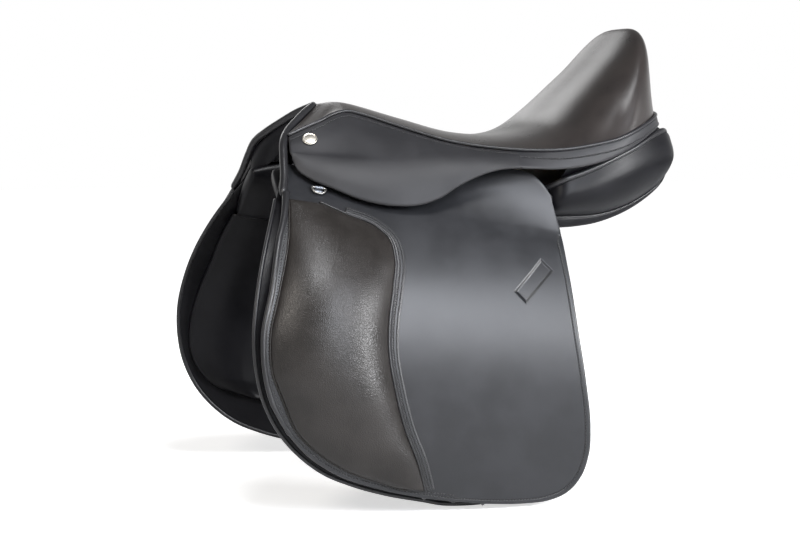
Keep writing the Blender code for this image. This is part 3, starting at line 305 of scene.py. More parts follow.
def slab(name: str, outer: Points, inner: Points) -> bpy.types.Object:
    """Closed body between two grids of one size, with a plain rim."""
    index = np.arange(outer.shape[0] * outer.shape[1]).reshape(outer.shape[:2])
    loop = border(index)
    faces = grid_quads(index) + grid_quads(index + index.size)
    faces += strip_quads(loop, loop + index.size).tolist()
    return closed_mesh(name, np.concatenate([outer.reshape(-1, 3), inner.reshape(-1, 3)]), faces)


def leather(name: str, outer: Points, thickness: float, outward: Points, rim: int = 5,
            edges: Points | None = None) -> bpy.types.Object:
    """Leather cut to a grid, with half-round edges.

    Inner face = outer - n t. The rim is p(a) = m + n (t/2) cos a + e (t/2) sin a for a from 0
    to pi, where m is the middle of the thickness and e points out of the grid.

    Args:
        name: Name of the piece.
        outer: Grid of the outer face.
        thickness: Thickness of the leather.
        outward: Direction that the outer face looks in, roughly.
        rim: Number of steps round the edge.
        edges: Distance from the leather's edge at each grid point, kept as an attribute.

    Returns:
        The object.
    """
    normals = grid_normals(outer, outward)
    index = np.arange(outer.shape[0] * outer.shape[1]).reshape(outer.shape[:2])
    loop = border(index)[:-1]
    flat_n, flat_o = normals.reshape(-1, 3)[loop], outer.reshape(-1, 3)[loop]
    out = edge_directions(outer).reshape(-1, 3)[loop]
    out = unit(out - flat_n * np.sum(out * flat_n, axis=1, keepdims=True))
    angles = np.linspace(0.0, math.pi, rim + 1)[1:-1]
    half = thickness / 2.0
    rings = [flat_o - flat_n * half + flat_n * half * math.cos(a) + out * half * math.sin(a) for a in angles]
    verts = np.concatenate([outer.reshape(-1, 3), (outer - normals * thickness).reshape(-1, 3), *rings])
    lines = [loop] + [2 * index.size + k * loop.size + np.arange(loop.size) for k in range(len(rings))]
    lines.append(loop + index.size)
    faces = grid_quads(index) + grid_quads(index + index.size)
    for first, second in zip(lines[:-1], lines[1:]):
        faces += strip_quads(np.append(first, first[0]), np.append(second, second[0])).tolist()
    made = closed_mesh(name, verts, faces)
    if edges is not None:
        values = np.concatenate([edges.reshape(-1), edges.reshape(-1), np.zeros(len(rings) * loop.size)])
        attribute = made.data.attributes.new("edge_distance", "FLOAT", "POINT")
        attribute.data.foreach_set("value", values.astype(np.float32))
    return made


def flat_map(made: bpy.types.Object, origin: Points, along: Points, across: Points) -> None:
    """Writes a UV map in metres: u and v are distances along two directions from an origin."""
    count = len(made.data.vertices)
    points = np.empty(count * 3)
    made.data.vertices.foreach_get("co", points)
    points = points.reshape(-1, 3) - np.asarray(origin)
    uv = np.stack([points @ unit(along), points @ unit(across)], axis=1)
    loops = np.empty(len(made.data.loops), np.int32)
    made.data.loops.foreach_get("vertex_index", loops)
    made.data.uv_layers.new(name="weave").data.foreach_set("uv", uv[loops].reshape(-1))


def tube(name: str, path: Points, radius: Points, facing: Points, sides: int = 14,
         closed: bool = False) -> bpy.types.Object:
    """Round tube with domed ends: p(s, a) = path(s) + r(s) (n cos a + b sin a).

    Args:
        name: Name of the piece.
        path: Points along the middle.
        radius: One radius, or one for each point.
        facing: Direction or directions that n leans to.
        sides: Number of points round the tube.
        closed: Join the end to the start.

    Returns:
        The object.
    """
    path = np.asarray(path, float)
    radius = np.broadcast_to(np.asarray(radius, float), (len(path),))
    along = unit(np.gradient(path, axis=0))
    if closed:
        along = unit(np.roll(path, -1, axis=0) - np.roll(path, 1, axis=0))
    else:
        dome = np.radians([88.0, 65.0, 35.0])
        before = path[0] - along[0] * (radius[0] * np.sin(dome))[:, None]
        after = path[-1] + along[-1] * (radius[-1] * np.sin(dome[::-1]))[:, None]
        path = np.concatenate([before, path, after])
        radius = np.concatenate([radius[0] * np.cos(dome), radius, radius[-1] * np.cos(dome[::-1])])
        added = ((len(dome), len(dome)), (0, 0))
        along = np.pad(along, added, mode="edge")
        if np.ndim(facing) == 2:
            facing = np.pad(facing, added, mode="edge")
    normal = np.broadcast_to(np.asarray(facing, float), path.shape)
    normal = unit(normal - along * np.sum(normal * along, axis=1, keepdims=True))
    binormal = np.cross(along, normal)
    angle = np.linspace(0.0, 2.0 * math.pi, sides, endpoint=False)[None, :, None]
    rings = path[:, None] + radius[:, None, None] * (normal[:, None] * np.cos(angle)
                                                     + binormal[:, None] * np.sin(angle))
    return ringed(name, rings, closed)


def ringed(name: str, rings: Points, closed: bool = False) -> bpy.types.Object:
    """Closed body through rings of points, with a face on each end ring."""
    index = np.arange(rings.shape[0] * rings.shape[1]).reshape(rings.shape[:2])
    wrapped = np.concatenate([index, index[:, :1]], axis=1)
    if closed:
        wrapped = np.concatenate([wrapped, wrapped[:1]])
    faces = grid_quads(wrapped)
    if not closed:
        faces += [index[0].tolist(), index[-1].tolist()]
    return closed_mesh(name, rings.reshape(-1, 3), faces)


def turned(name: str, profile: list, place: Points, axis: Points, sides: int = 64) -> bpy.types.Object:
    """Body turned about an axis: each (r, h) of the profile is a ring at height h.

    Args:
        name: Name of the piece.
        profile: Pairs of radius and height, from the foot to the top.
        place: Point where height is zero.
        axis: Direction of height.
        sides: Number of points in a ring.

    Returns:
        The object.
    """
    up = unit(axis)
    first = unit(np.cross(up, [1.0, 0.0, 0.0]))
    second = np.cross(up, first)
    angle = np.linspace(0.0, 2.0 * math.pi, sides, endpoint=False)[None, :, None]
    radius, height = np.array(profile, float).T[:, :, None, None]
    rings = np.asarray(place) + up * height + radius * (first * np.cos(angle) + second * np.sin(angle))
    return ringed(name, rings)


def stitches(name: str, path: Points, normals: Points, pitch: float = 0.0034,
             radius: float = 0.00058) -> bpy.types.Object:
    """Row of thread stitches: each is a six-sided bead that dips into the leather at both ends.

    A ring of a stitch lies at t along it, -1 to 1, with its middle 0.55 r - 1.1 r t^2 high.

    Args:
        name: Name of the piece.
        path: Points on the leather's face.
        normals: The face's normal at each point.
        pitch: Distance from one stitch to the next.
        radius: Radius of the thread.

    Returns:
        The object.
    """
    row = even_path(np.concatenate([path, normals], axis=1), pitch, 0.5)
    centre, normal = row[:, :3], unit(row[:, 3:])
    along = unit(np.gradient(centre, axis=0))
    across = unit(np.cross(normal, along))
    sides, shape = 6, np.array([[-1.0, -0.72, 0.0, 0.72, 1.0], [0.45, 0.9, 1.0, 0.9, 0.45]])
    t, size = shape[:, None, :, None, None] * np.array([1.0, radius])[:, None, None, None, None]
    angle = np.linspace(0.0, 2.0 * math.pi, sides, endpoint=False)[None, None, :, None]
    lift = 0.55 * radius - 1.1 * radius * t**2 + size * np.sin(angle)
    verts = (centre[:, None, None] + along[:, None, None] * t * pitch * 0.31
             + across[:, None, None] * size * np.cos(angle) + normal[:, None, None] * lift)
    one = np.arange(t.size * sides).reshape(t.size, sides)
    quads = np.array(grid_quads(np.concatenate([one, one[:, :1]], axis=1)))
    shift = one.size * np.arange(len(centre))[:, None, None]
    faces = (quads[None] + shift).reshape(-1, 4).tolist()
    faces += (one[[0, -1]][None] + shift).reshape(-1, sides).tolist()
    return closed_mesh(name, verts.reshape(-1, 3), faces)


@dataclass(frozen=True)
class Stuffing:
    """How a leather body is filled: its skin is blown up as cloth, and no point moves past the cap."""

    pressure: float = 4.0
    cap: float = 0.008
    frames: int = 20

    def fill(self, name: str, form: bpy.types.Object, held: Callable[[Points], Points]) -> bpy.types.Object:
        """Runs the cloth simulation on a body and applies its result.

        Args:
            name: Name of the filled piece.
            form: Closed body to start from, with faces of a few millimetres; it becomes the piece.
            held: Function of the skin's points that is true where the skin is sewn down.

        Returns:
            The filled piece, one level of subdivision on it.
        """
        made, mesh = form, form.data
        made.name = name
        start = coordinates(mesh)
        pinned = np.flatnonzero(held(start))
        group = made.vertex_groups.new(name="sewn")
        group.add(pinned.tolist(), 1.0, "REPLACE")
        cloth = made.modifiers.new("filling", "CLOTH")
        cloth.settings.use_pressure = True
        cloth.settings.uniform_pressure_force = self.pressure
        cloth.settings.vertex_group_mass = group.name
        cloth.settings.effector_weights.gravity = 0.0
        cloth.point_cache.frame_end = self.frames
        for frame_number in range(1, self.frames + 1):
            bpy.context.scene.frame_set(frame_number)
        moved = coordinates(evaluated_mesh(made)) - start
        made.modifiers.clear()
        bpy.context.scene.frame_set(1)
        made.vertex_groups.clear()
        reach = np.linalg.norm(moved, axis=1, keepdims=True)
        moved *= self.cap * np.tanh(reach / self.cap) / np.maximum(reach, 1e-9)
        mesh.vertices.foreach_set("co", (start + moved).reshape(-1))
        mesh.polygons.foreach_set("use_smooth", np.ones(len(mesh.polygons), bool))
        smooth = made.modifiers.new("rounding", "SUBSURF")
        smooth.levels = smooth.render_levels = 1
        made.data = evaluated_mesh(made)
        made.modifiers.clear()
        return made


def evaluated_mesh(made: bpy.types.Object) -> bpy.types.Mesh:
    """New mesh of an object with its modifiers applied."""
    bpy.context.view_layer.update()
    return bpy.data.meshes.new_from_object(made.evaluated_get(bpy.context.evaluated_depsgraph_get()))


def coordinates(mesh: bpy.types.Mesh) -> Points:
    """Points of a mesh as an array."""
    points = np.empty(len(mesh.vertices) * 3)
    mesh.vertices.foreach_get("co", points)
    return points.reshape(-1, 3)


def other_side(name: str, made: bpy.types.Object) -> bpy.types.Object:
    """Copy of a piece across the middle of the saddle, with its faces turned to match."""
    mesh = made.data.copy()
    points = coordinates(mesh)
    points[:, 1] *= -1.0
    mesh.vertices.foreach_set("co", points.reshape(-1))
    mesh.flip_normals()
    return linked(name, mesh)


# Shader node groups and finishes


class Sheet:
    """Short way to place and join the nodes of one tree."""

    def __init__(self, tree: bpy.types.NodeTree) -> None:
        """Keeps the tree."""
        self.tree = tree

    def node(self, kind: str, sockets: dict = None, **settings: object) -> bpy.types.Node:
        """Adds a node, sets its options, and sets or links its inputs.

        Args:
            kind: Type of the node.
            sockets: Value or output socket for each input, by name or number.
            **settings: Options of the node.

        Returns:
            The node.
        """
        made = self.tree.nodes.new(kind)
        for key, value in settings.items():
            setattr(made, key, value)
        return self.feed(made, sockets or {})

    def feed(self, made: bpy.types.Node, sockets: dict) -> bpy.types.Node:
        """Sets or links a node's inputs.

        Args:
            made: The node.
            sockets: Value or output socket for each input, by name or number.

        Returns:
            The node.
        """
        for key, value in sockets.items():
            if isinstance(value, bpy.types.NodeSocket):
                self.tree.links.new(value, made.inputs[key])
            else:
                made.inputs[key].default_value = value
        return made

    def math(self, operation: str, *values: object) -> bpy.types.NodeSocket:
        """Output of a Math node on values or sockets."""
        return self.node("ShaderNodeMath", dict(enumerate(values)), operation=operation).outputs[0]

    def noise(self, where: bpy.types.NodeSocket, scale: object, detail: float,
              roughness: float = 0.5) -> bpy.types.NodeOutputs:
        """Outputs of a Noise Texture node."""
        return self.node("ShaderNodeTexNoise", {"Vector": where, "Scale": scale, "Detail": detail,
                                                "Roughness": roughness}).outputs

    def bump(self, height: object, distance: float, over: dict | None = None) -> bpy.types.NodeSocket:
        """Normal of a Bump node, over another normal if one is given."""
        return self.node("ShaderNodeBump", {"Height": height, "Distance": distance, **(over or {})}).outputs[0]

    def ramp(self, value: object, low: object, high: object, start: float = 0.0,
             end: float = 1.0) -> bpy.types.NodeSocket:
        """Value mapped smoothly from low..high to start..end."""
        sockets = {"Value": value, "From Min": low, "From Max": high, "To Min": start, "To Max": end}
        return self.node("ShaderNodeMapRange", sockets, interpolation_type="SMOOTHSTEP").outputs[0]

    def blend(self, share: object, first: object, second: object) -> bpy.types.NodeSocket:
        """Output of a colour Mix node, whose sockets 0, 6 and 7 are the share and the two colours."""
        made = self.node("ShaderNodeMix", data_type="RGBA")
        return self.feed(made, {0: share, 6: first, 7: second}).outputs[2]


class Group(Enum):
    """Node groups that several finishes share."""

    GRAIN = "leather_grain"
    TONE = "leather_tone"
    EDGE = "cut_edge"
    WEAVE = "web_weave"
    BRUSHED = "brushed_metal"


def new_group(kind: Group, inputs: dict, outputs: dict) -> tuple:
    """Empty node group with its sockets.

    Args:
        kind: Which group.
        inputs: Default value for each input; a float, a vector or a colour.
        outputs: Socket type for each output.

    Returns:
        The sheet of the group, its input node's outputs, and its output node.
    """
    tree = bpy.data.node_groups.new(kind.value, "ShaderNodeTree")
    for key, value in inputs.items():
        size = len(value) if isinstance(value, tuple) else 1
        form = {1: "NodeSocketFloat", 3: "NodeSocketVector", 4: "NodeSocketColor"}[size]
        socket = tree.interface.new_socket(key, in_out="INPUT", socket_type=form)
        socket.default_value = value
    for key, form in outputs.items():
        tree.interface.new_socket(key, in_out="OUTPUT", socket_type=form)
    sheet = Sheet(tree)
    return sheet, sheet.node("NodeGroupInput").outputs, sheet.node("NodeGroupOutput")


NUMBER, COLOUR = "NodeSocketFloat", "NodeSocketColor"
ORIGIN = (0.0, 0.0, 0.0)
WHITE = (1.0, 1.0, 1.0, 1.0)


def build_grain() -> None:
    """Grain: pebbles between bent walls, with fine pores and soft folds."""
    sheet, given, result = new_group(
        Group.GRAIN, {"Vector": ORIGIN, "Pebble Scale": 700.0, "Pebbles": 0.5, "Folds": 0.2}, {"Height": NUMBER})
    where = given["Vector"]
    bend = sheet.noise(where, 260.0, 2.0)["Color"]
    push = sheet.node("ShaderNodeVectorMath", {0: bend, "Scale": 0.0011}, operation="SCALE").outputs[0]
    moved = sheet.node("ShaderNodeVectorMath", {0: where, 1: push}, operation="ADD").outputs[0]
    cells = sheet.node("ShaderNodeTexVoronoi", {"Vector": moved, "Scale": given["Pebble Scale"]},
                       feature="DISTANCE_TO_EDGE").outputs["Distance"]
    pores = sheet.math("MULTIPLY", sheet.noise(where, 1500.0, 2.0)["Fac"], 0.05)
    pebbles = sheet.math("MULTIPLY", sheet.ramp(cells, 0.0, 0.32), given["Pebbles"])
    folds = sheet.math("MULTIPLY", sheet.noise(moved, 95.0, 4.0)["Fac"], given["Folds"])
    sheet.feed(result, {"Height": sheet.math("ADD", sheet.math("ADD", pores, pebbles), folds)})


def build_tone() -> None:
    """Tone: colour and roughness that drift in patches and specks."""
    sheet, given, result = new_group(
        Group.TONE, {"Vector": ORIGIN, "Scale": 22.0, "Dark": WHITE, "Light": WHITE, "Rough Low": 0.4,
                     "Rough High": 0.5}, {"Color": COLOUR, "Roughness": NUMBER})
    patch = sheet.ramp(sheet.noise(given["Vector"], given["Scale"], 5.0, 0.62)["Fac"], 0.34, 0.68)
    speck = sheet.noise(given["Vector"], 900.0, 2.0)["Fac"]
    share = sheet.math("ADD", sheet.math("MULTIPLY", patch, 0.75), sheet.math("MULTIPLY", speck, 0.25))
    rough = sheet.node("ShaderNodeMapRange", {"Value": share, "To Min": given["Rough Low"],
                                              "To Max": given["Rough High"]}).outputs[0]
    sheet.feed(result, {"Color": sheet.blend(share, given["Dark"], given["Light"]), "Roughness": rough})


def build_edge() -> None:
    """Cut edge: a creased groove at a distance from it, darkened as painted shade, and an edge band lightened by
    wear and a painted highlight.
    """
    sheet, given, result = new_group(
        Group.EDGE, {"Distance": 1.0, "Groove At": 0.0022, "Groove Width": 0.0010, "Worn": 0.0008},
        {"Wear": NUMBER, "Height": NUMBER, "Shade": NUMBER})
    gap = sheet.math("ABSOLUTE", sheet.math("SUBTRACT", given["Distance"], given["Groove At"]))
    groove = sheet.ramp(gap, 0.0, given["Groove Width"])
    # Shade is painted shade in the groove; the edge band is partly wear and partly a painted highlight.
    sheet.feed(result, {"Height": groove, "Shade": sheet.ramp(groove, 0.0, 0.8, 0.62, 0.0),
                        "Wear": sheet.ramp(given["Distance"], 0.0, given["Worn"], 1.0, 0.0)})


def build_weave() -> None:
    """Weave: the product of two sines, one along the warp and one along the weft; the gaps between threads get
    painted shade.
    """
    sheet, given, result = new_group(
        Group.WEAVE, {"Vector": ORIGIN, "Pitch": 0.0016}, {"Height": NUMBER, "Shade": NUMBER})
    axes = sheet.node("ShaderNodeSeparateXYZ", {0: given["Vector"]}).outputs
    turn = sheet.math("DIVIDE", 2.0 * math.pi, given["Pitch"])
    warp, weft = (sheet.math("SINE", sheet.math("MULTIPLY", axes[k], turn)) for k in (0, 1))
    over = sheet.math("MULTIPLY", warp, weft)
    sheet.feed(result, {"Height": sheet.ramp(over, -1.0, 1.0),
                        "Shade": sheet.ramp(sheet.math("ABSOLUTE", over), 0.0, 0.5)})


def build_brushed() -> None:
    """Brushed metal: fine lines along X and a cloudy roughness."""
    sheet, given, result = new_group(
        Group.BRUSHED, {"Vector": ORIGIN, "Rough Low": 0.2, "Rough High": 0.4},
        {"Height": NUMBER, "Roughness": NUMBER})
    drawn = sheet.node("ShaderNodeMapping", {"Vector": given["Vector"], "Scale": (60.0, 2400.0, 2400.0)})
    lines = sheet.noise(drawn.outputs[0], 1.0, 4.0)["Fac"]
    cloud = sheet.noise(given["Vector"], 120.0, 3.0)["Fac"]
    both = sheet.math("MULTIPLY", sheet.math("ADD", lines, cloud), 0.5)
    rough = sheet.node("ShaderNodeMapRange", {"Value": both, "From Min": 0.3, "From Max": 0.7,
                                              "To Min": given["Rough Low"], "To Max": given["Rough High"]})
    sheet.feed(result, {"Height": lines, "Roughness": rough.outputs[0]})


def shared(sheet: Sheet, kind: Group, sockets: dict) -> bpy.types.NodeOutputs:
    """Places a shared group in a tree and gives its outputs."""
    made = sheet.node("ShaderNodeGroup", node_tree=bpy.data.node_groups[kind.value])
    return sheet.feed(made, sockets).outputs


def rgba(colour: tuple) -> tuple:
    """Colour with full opacity."""
    return (*colour, 1.0)


@dataclass(frozen=True)
class Finish:
    """What every finish has: its name and the record's slot."""

    name: str
    slot: str

    def material(self) -> bpy.types.Material:
        """The finish's material, made the first time it is asked for."""
        found = bpy.data.materials.get(self.name)
        if found is None:
            found = bpy.data.materials.new(self.name)
            found.use_nodes = True
            sheet = Sheet(found.node_tree)
            coordinates = sheet.node("ShaderNodeTexCoord").outputs["Object"]
            self.dress(sheet, found.node_tree.nodes["Principled BSDF"], coordinates)
        return found

    def dress(self, sheet: Sheet, shader: bpy.types.Node, where: bpy.types.NodeSocket) -> None:
        """Joins the finish's nodes to its shader."""
        raise NotImplementedError


@dataclass(frozen=True)
class PressedPanel:
    """A plain tilted rectangle pressed into a leather, with sloping walls."""

    place: tuple = (-0.0047, 0.0, 0.0548)
    tilt: float = 40.8
    half_width: float = 0.0255
    half_height: float = 0.0090
    wall: tuple = (-0.0036, 0.0004)
    depth: float = 0.0016

    def height(self, sheet: Sheet, where: bpy.types.NodeSocket) -> bpy.types.NodeSocket:
        """Height of the leather: 0 inside the rectangle and 1 outside."""
        placed = sheet.node("ShaderNodeMapping", {"Vector": where, "Location": self.place}).outputs[0]
        tilted = sheet.node("ShaderNodeMapping", {
            "Vector": placed, "Rotation": (0.0, math.radians(self.tilt), 0.0)}).outputs[0]
        axes = sheet.node("ShaderNodeSeparateXYZ", {0: tilted}).outputs
        wide = sheet.math("SUBTRACT", sheet.math("ABSOLUTE", axes[0]), self.half_width)
        tall = sheet.math("SUBTRACT", sheet.math("ABSOLUTE", axes[2]), self.half_height)
        return sheet.ramp(sheet.math("MAXIMUM", wide, tall), *self.wall)


@dataclass(frozen=True)
class Leather(Finish):
    """Tanned and dyed leather: tone, grain, a creased groove darkened as painted shade, an edge lightened by wear
    and a painted highlight, and any pressed panel with painted shade in its recess.
    """

    dark: tuple = (0.02, 0.02, 0.023)
    light: tuple = (0.03, 0.03, 0.034)
    rough_low: float = 0.40
    rough_high: float = 0.50
    pebble_scale: float = 900.0
    pebbles: float = 0.3
    folds: float = 0.15
    grain_depth: float = 0.00012
    specular: float = 0.5
    groove: float = 0.0
    groove_depth: float = 0.0005
    # Colour of the edge band: partly wear, partly a painted highlight.
    worn: tuple = (0.035, 0.034, 0.035)
    pressed: PressedPanel | None = None

    def dress(self, sheet: Sheet, shader: bpy.types.Node, where: bpy.types.NodeSocket) -> None:
        """Joins tone, grain and edge to the shader."""
        tone = shared(sheet, Group.TONE, {"Vector": where, "Dark": rgba(self.dark), "Light": rgba(self.light),
                                          "Rough Low": self.rough_low, "Rough High": self.rough_high})
        grain = shared(sheet, Group.GRAIN, {"Vector": where, "Pebble Scale": self.pebble_scale,
                                            "Pebbles": self.pebbles, "Folds": self.folds})
        normal = sheet.bump(grain["Height"], self.grain_depth)
        colour = tone["Color"]
        if self.groove:
            read = sheet.node("ShaderNodeAttribute", attribute_name="edge_distance").outputs["Fac"]
            edge = shared(sheet, Group.EDGE, {"Distance": read, "Groove At": self.groove})
            # Lighter edge band: partly wear, partly a painted highlight along the cut edge.
            colour = sheet.blend(sheet.math("MULTIPLY", edge["Wear"], 0.7), colour, rgba(self.worn))
            # Painted shade: the creased groove darkened towards near black.
            colour = sheet.blend(edge["Shade"], colour, (0.003, 0.003, 0.003, 1.0))
            normal = sheet.bump(edge["Height"], self.groove_depth, {"Normal": normal})
        if self.pressed:
            panel = self.pressed.height(sheet, where)
            normal = sheet.bump(panel, self.pressed.depth, {"Normal": normal})
            # Painted shade: the pressed recess and its walls darkened towards near black.
            colour = sheet.blend(sheet.ramp(panel, 0.9, 0.3, 0.0, 0.5), colour, (0.004, 0.004, 0.005, 1.0))
        sheet.feed(shader, {"Base Color": colour, "Roughness": tone["Roughness"], "Normal": normal,
                            "Specular IOR Level": self.specular})


@dataclass(frozen=True)
class Metal(Finish):
    """Drawn or plated metal."""

    colour: tuple = (0.6, 0.6, 0.6)
    rough_low: float = 0.2
    rough_high: float = 0.35

    def dress(self, sheet: Sheet, shader: bpy.types.Node, where: bpy.types.NodeSocket) -> None:
        """Joins the brushed lines to the shader."""
        lines = shared(sheet, Group.BRUSHED, {"Vector": where, "Rough Low": self.rough_low,
                                              "Rough High": self.rough_high})
        sheet.feed(shader, {"Base Color": rgba(self.colour), "Metallic": 1.0, "Roughness": lines["Roughness"],
                            "Normal": sheet.bump(lines["Height"], 0.00003)})


@dataclass(frozen=True)
class Fibre(Finish):
    """Woven webbing or spun thread, with painted shade in the gaps between its threads."""

    colour: tuple = (0.5, 0.48, 0.42)
    shade: tuple = (0.3, 0.28, 0.24)
    pitch: float = 0.0016
    mapped: bool = True

    def dress(self, sheet: Sheet, shader: bpy.types.Node, where: bpy.types.NodeSocket) -> None:
        """Joins the weave to the shader."""
        if self.mapped:
            where = sheet.node("ShaderNodeUVMap", uv_map="weave").outputs[0]
        weave = shared(sheet, Group.WEAVE, {"Vector": where, "Pitch": self.pitch})
        # Painted shade: the gaps between threads take the darker shade colour.
        colour = sheet.blend(weave["Shade"], rgba(self.shade), rgba(self.colour))
        sheet.feed(shader, {"Base Color": colour, "Roughness": 0.85, "Sheen Weight": 0.2,
                            "Normal": sheet.bump(weave["Height"], 0.0003)})


@dataclass(frozen=True)
class Wood(Finish):
    """Laminated beech: thin plies stacked in Z, with grain along X."""

    early: tuple = (0.56, 0.38, 0.20)
    late: tuple = (0.36, 0.21, 0.10)

    def dress(self, sheet: Sheet, shader: bpy.types.Node, where: bpy.types.NodeSocket) -> None:
        """Joins plies and grain to the shader."""
        drawn = sheet.node("ShaderNodeMapping", {"Vector": where, "Scale": (14.0, 160.0, 900.0)})
        share = sheet.ramp(sheet.noise(drawn.outputs[0], 1.0, 4.0)["Fac"], 0.35, 0.65)
        sheet.feed(shader, {"Base Color": sheet.blend(share, rgba(self.early), rgba(self.late)),
                            "Roughness": sheet.ramp(share, 0.0, 1.0, 0.45, 0.62),
                            "Normal": sheet.bump(share, 0.00012)})


FLAP_LEATHER = Leather("flap_leather", "black_leather", dark=(0.010, 0.0105, 0.012),
                       light=(0.016, 0.0165, 0.019), rough_low=0.31, rough_high=0.37, pebble_scale=1500.0,
                       pebbles=0.25, folds=0.30, grain_depth=0.00005, specular=0.40, groove=0.0042,
                       pressed=PressedPanel())
SKIRT_LEATHER = Leather("skirt_leather", "black_leather", dark=(0.013, 0.013, 0.0145),
                        light=(0.019, 0.019, 0.021), rough_low=0.44, rough_high=0.52, pebble_scale=1600.0,
                        pebbles=0.12, folds=0.10, grain_depth=0.00006, specular=0.28, groove=0.0052)
BAND_LEATHER = Leather("band_leather", "black_leather", dark=(0.015, 0.0155, 0.017),
                       light=(0.022, 0.0225, 0.025), rough_low=0.33, rough_high=0.40, pebble_scale=1500.0,
                       pebbles=0.25, folds=0.20, grain_depth=0.00008, specular=0.42, groove=0.0023)
BINDING_LEATHER = Leather("binding_leather", "black_leather", dark=(0.010, 0.010, 0.011),
                          light=(0.016, 0.016, 0.018), rough_low=0.28, rough_high=0.36, pebble_scale=1300.0,
                          pebbles=0.25, grain_depth=0.00008, specular=0.40)
PAD_LEATHER = Leather("pad_leather", "brown_black_leather", dark=(0.011, 0.0095, 0.0085),
                      light=(0.021, 0.0185, 0.017), rough_low=0.28, rough_high=0.36, pebble_scale=560.0,
                      pebbles=0.8, folds=0.9, grain_depth=0.00009, specular=0.31)
SEAT_LEATHER = Leather("seat_leather", "brown_black_leather", dark=(0.015, 0.0125, 0.012),
                       light=(0.024, 0.0200, 0.0185), rough_low=0.27, rough_high=0.30, pebble_scale=1300.0,
                       pebbles=0.22, folds=0.15, grain_depth=0.00007, specular=0.42)
PANEL_LEATHER = Leather("panel_leather", "soft_black_leather", dark=(0.003, 0.003, 0.004),
                        light=(0.006, 0.006, 0.0075), rough_low=0.32, rough_high=0.42, pebble_scale=1000.0,
                        pebbles=0.25, folds=0.3, grain_depth=0.00007, specular=0.14)
LINING_LEATHER = Leather("lining_hide", "lining_leather", dark=(0.004, 0.004, 0.005),
                         light=(0.009, 0.009, 0.011), rough_low=0.42, rough_high=0.55, pebble_scale=1000.0,
                         pebbles=0.4, folds=0.4, specular=0.2)
STRAP_LEATHER = Leather("strap_hide", "strap_leather", dark=(0.030, 0.026, 0.024), light=(0.055, 0.047, 0.042),
                        rough_low=0.46, rough_high=0.60, pebble_scale=1200.0, pebbles=0.3, folds=0.5,
                        specular=0.35, groove=0.0042, worn=(0.11, 0.085, 0.065))
THREAD = Fibre("waxed_thread", "black_leather", colour=(0.010, 0.010, 0.011), shade=(0.004, 0.004, 0.004),
               pitch=0.0006, mapped=False)
WEBBING = Fibre("linen_webbing", "webbing")
NICKEL = Metal("polished_nickel", "bright_nickel", colour=(0.56, 0.53, 0.47), rough_low=0.30, rough_high=0.40)
# Painted shade: a darker copy of the nickel for the D ring, which sits in the skirt's shadow.
SHADOWED_NICKEL = Metal("dull_nickel", "bright_nickel", colour=(0.26, 0.255, 0.245), rough_low=0.30, rough_high=0.42)
STEEL = Metal("blued_spring_steel", "blued_steel", colour=(0.16, 0.17, 0.19), rough_low=0.28, rough_high=0.45)
BEECH = Wood("laminated_beech", "laminated_wood")


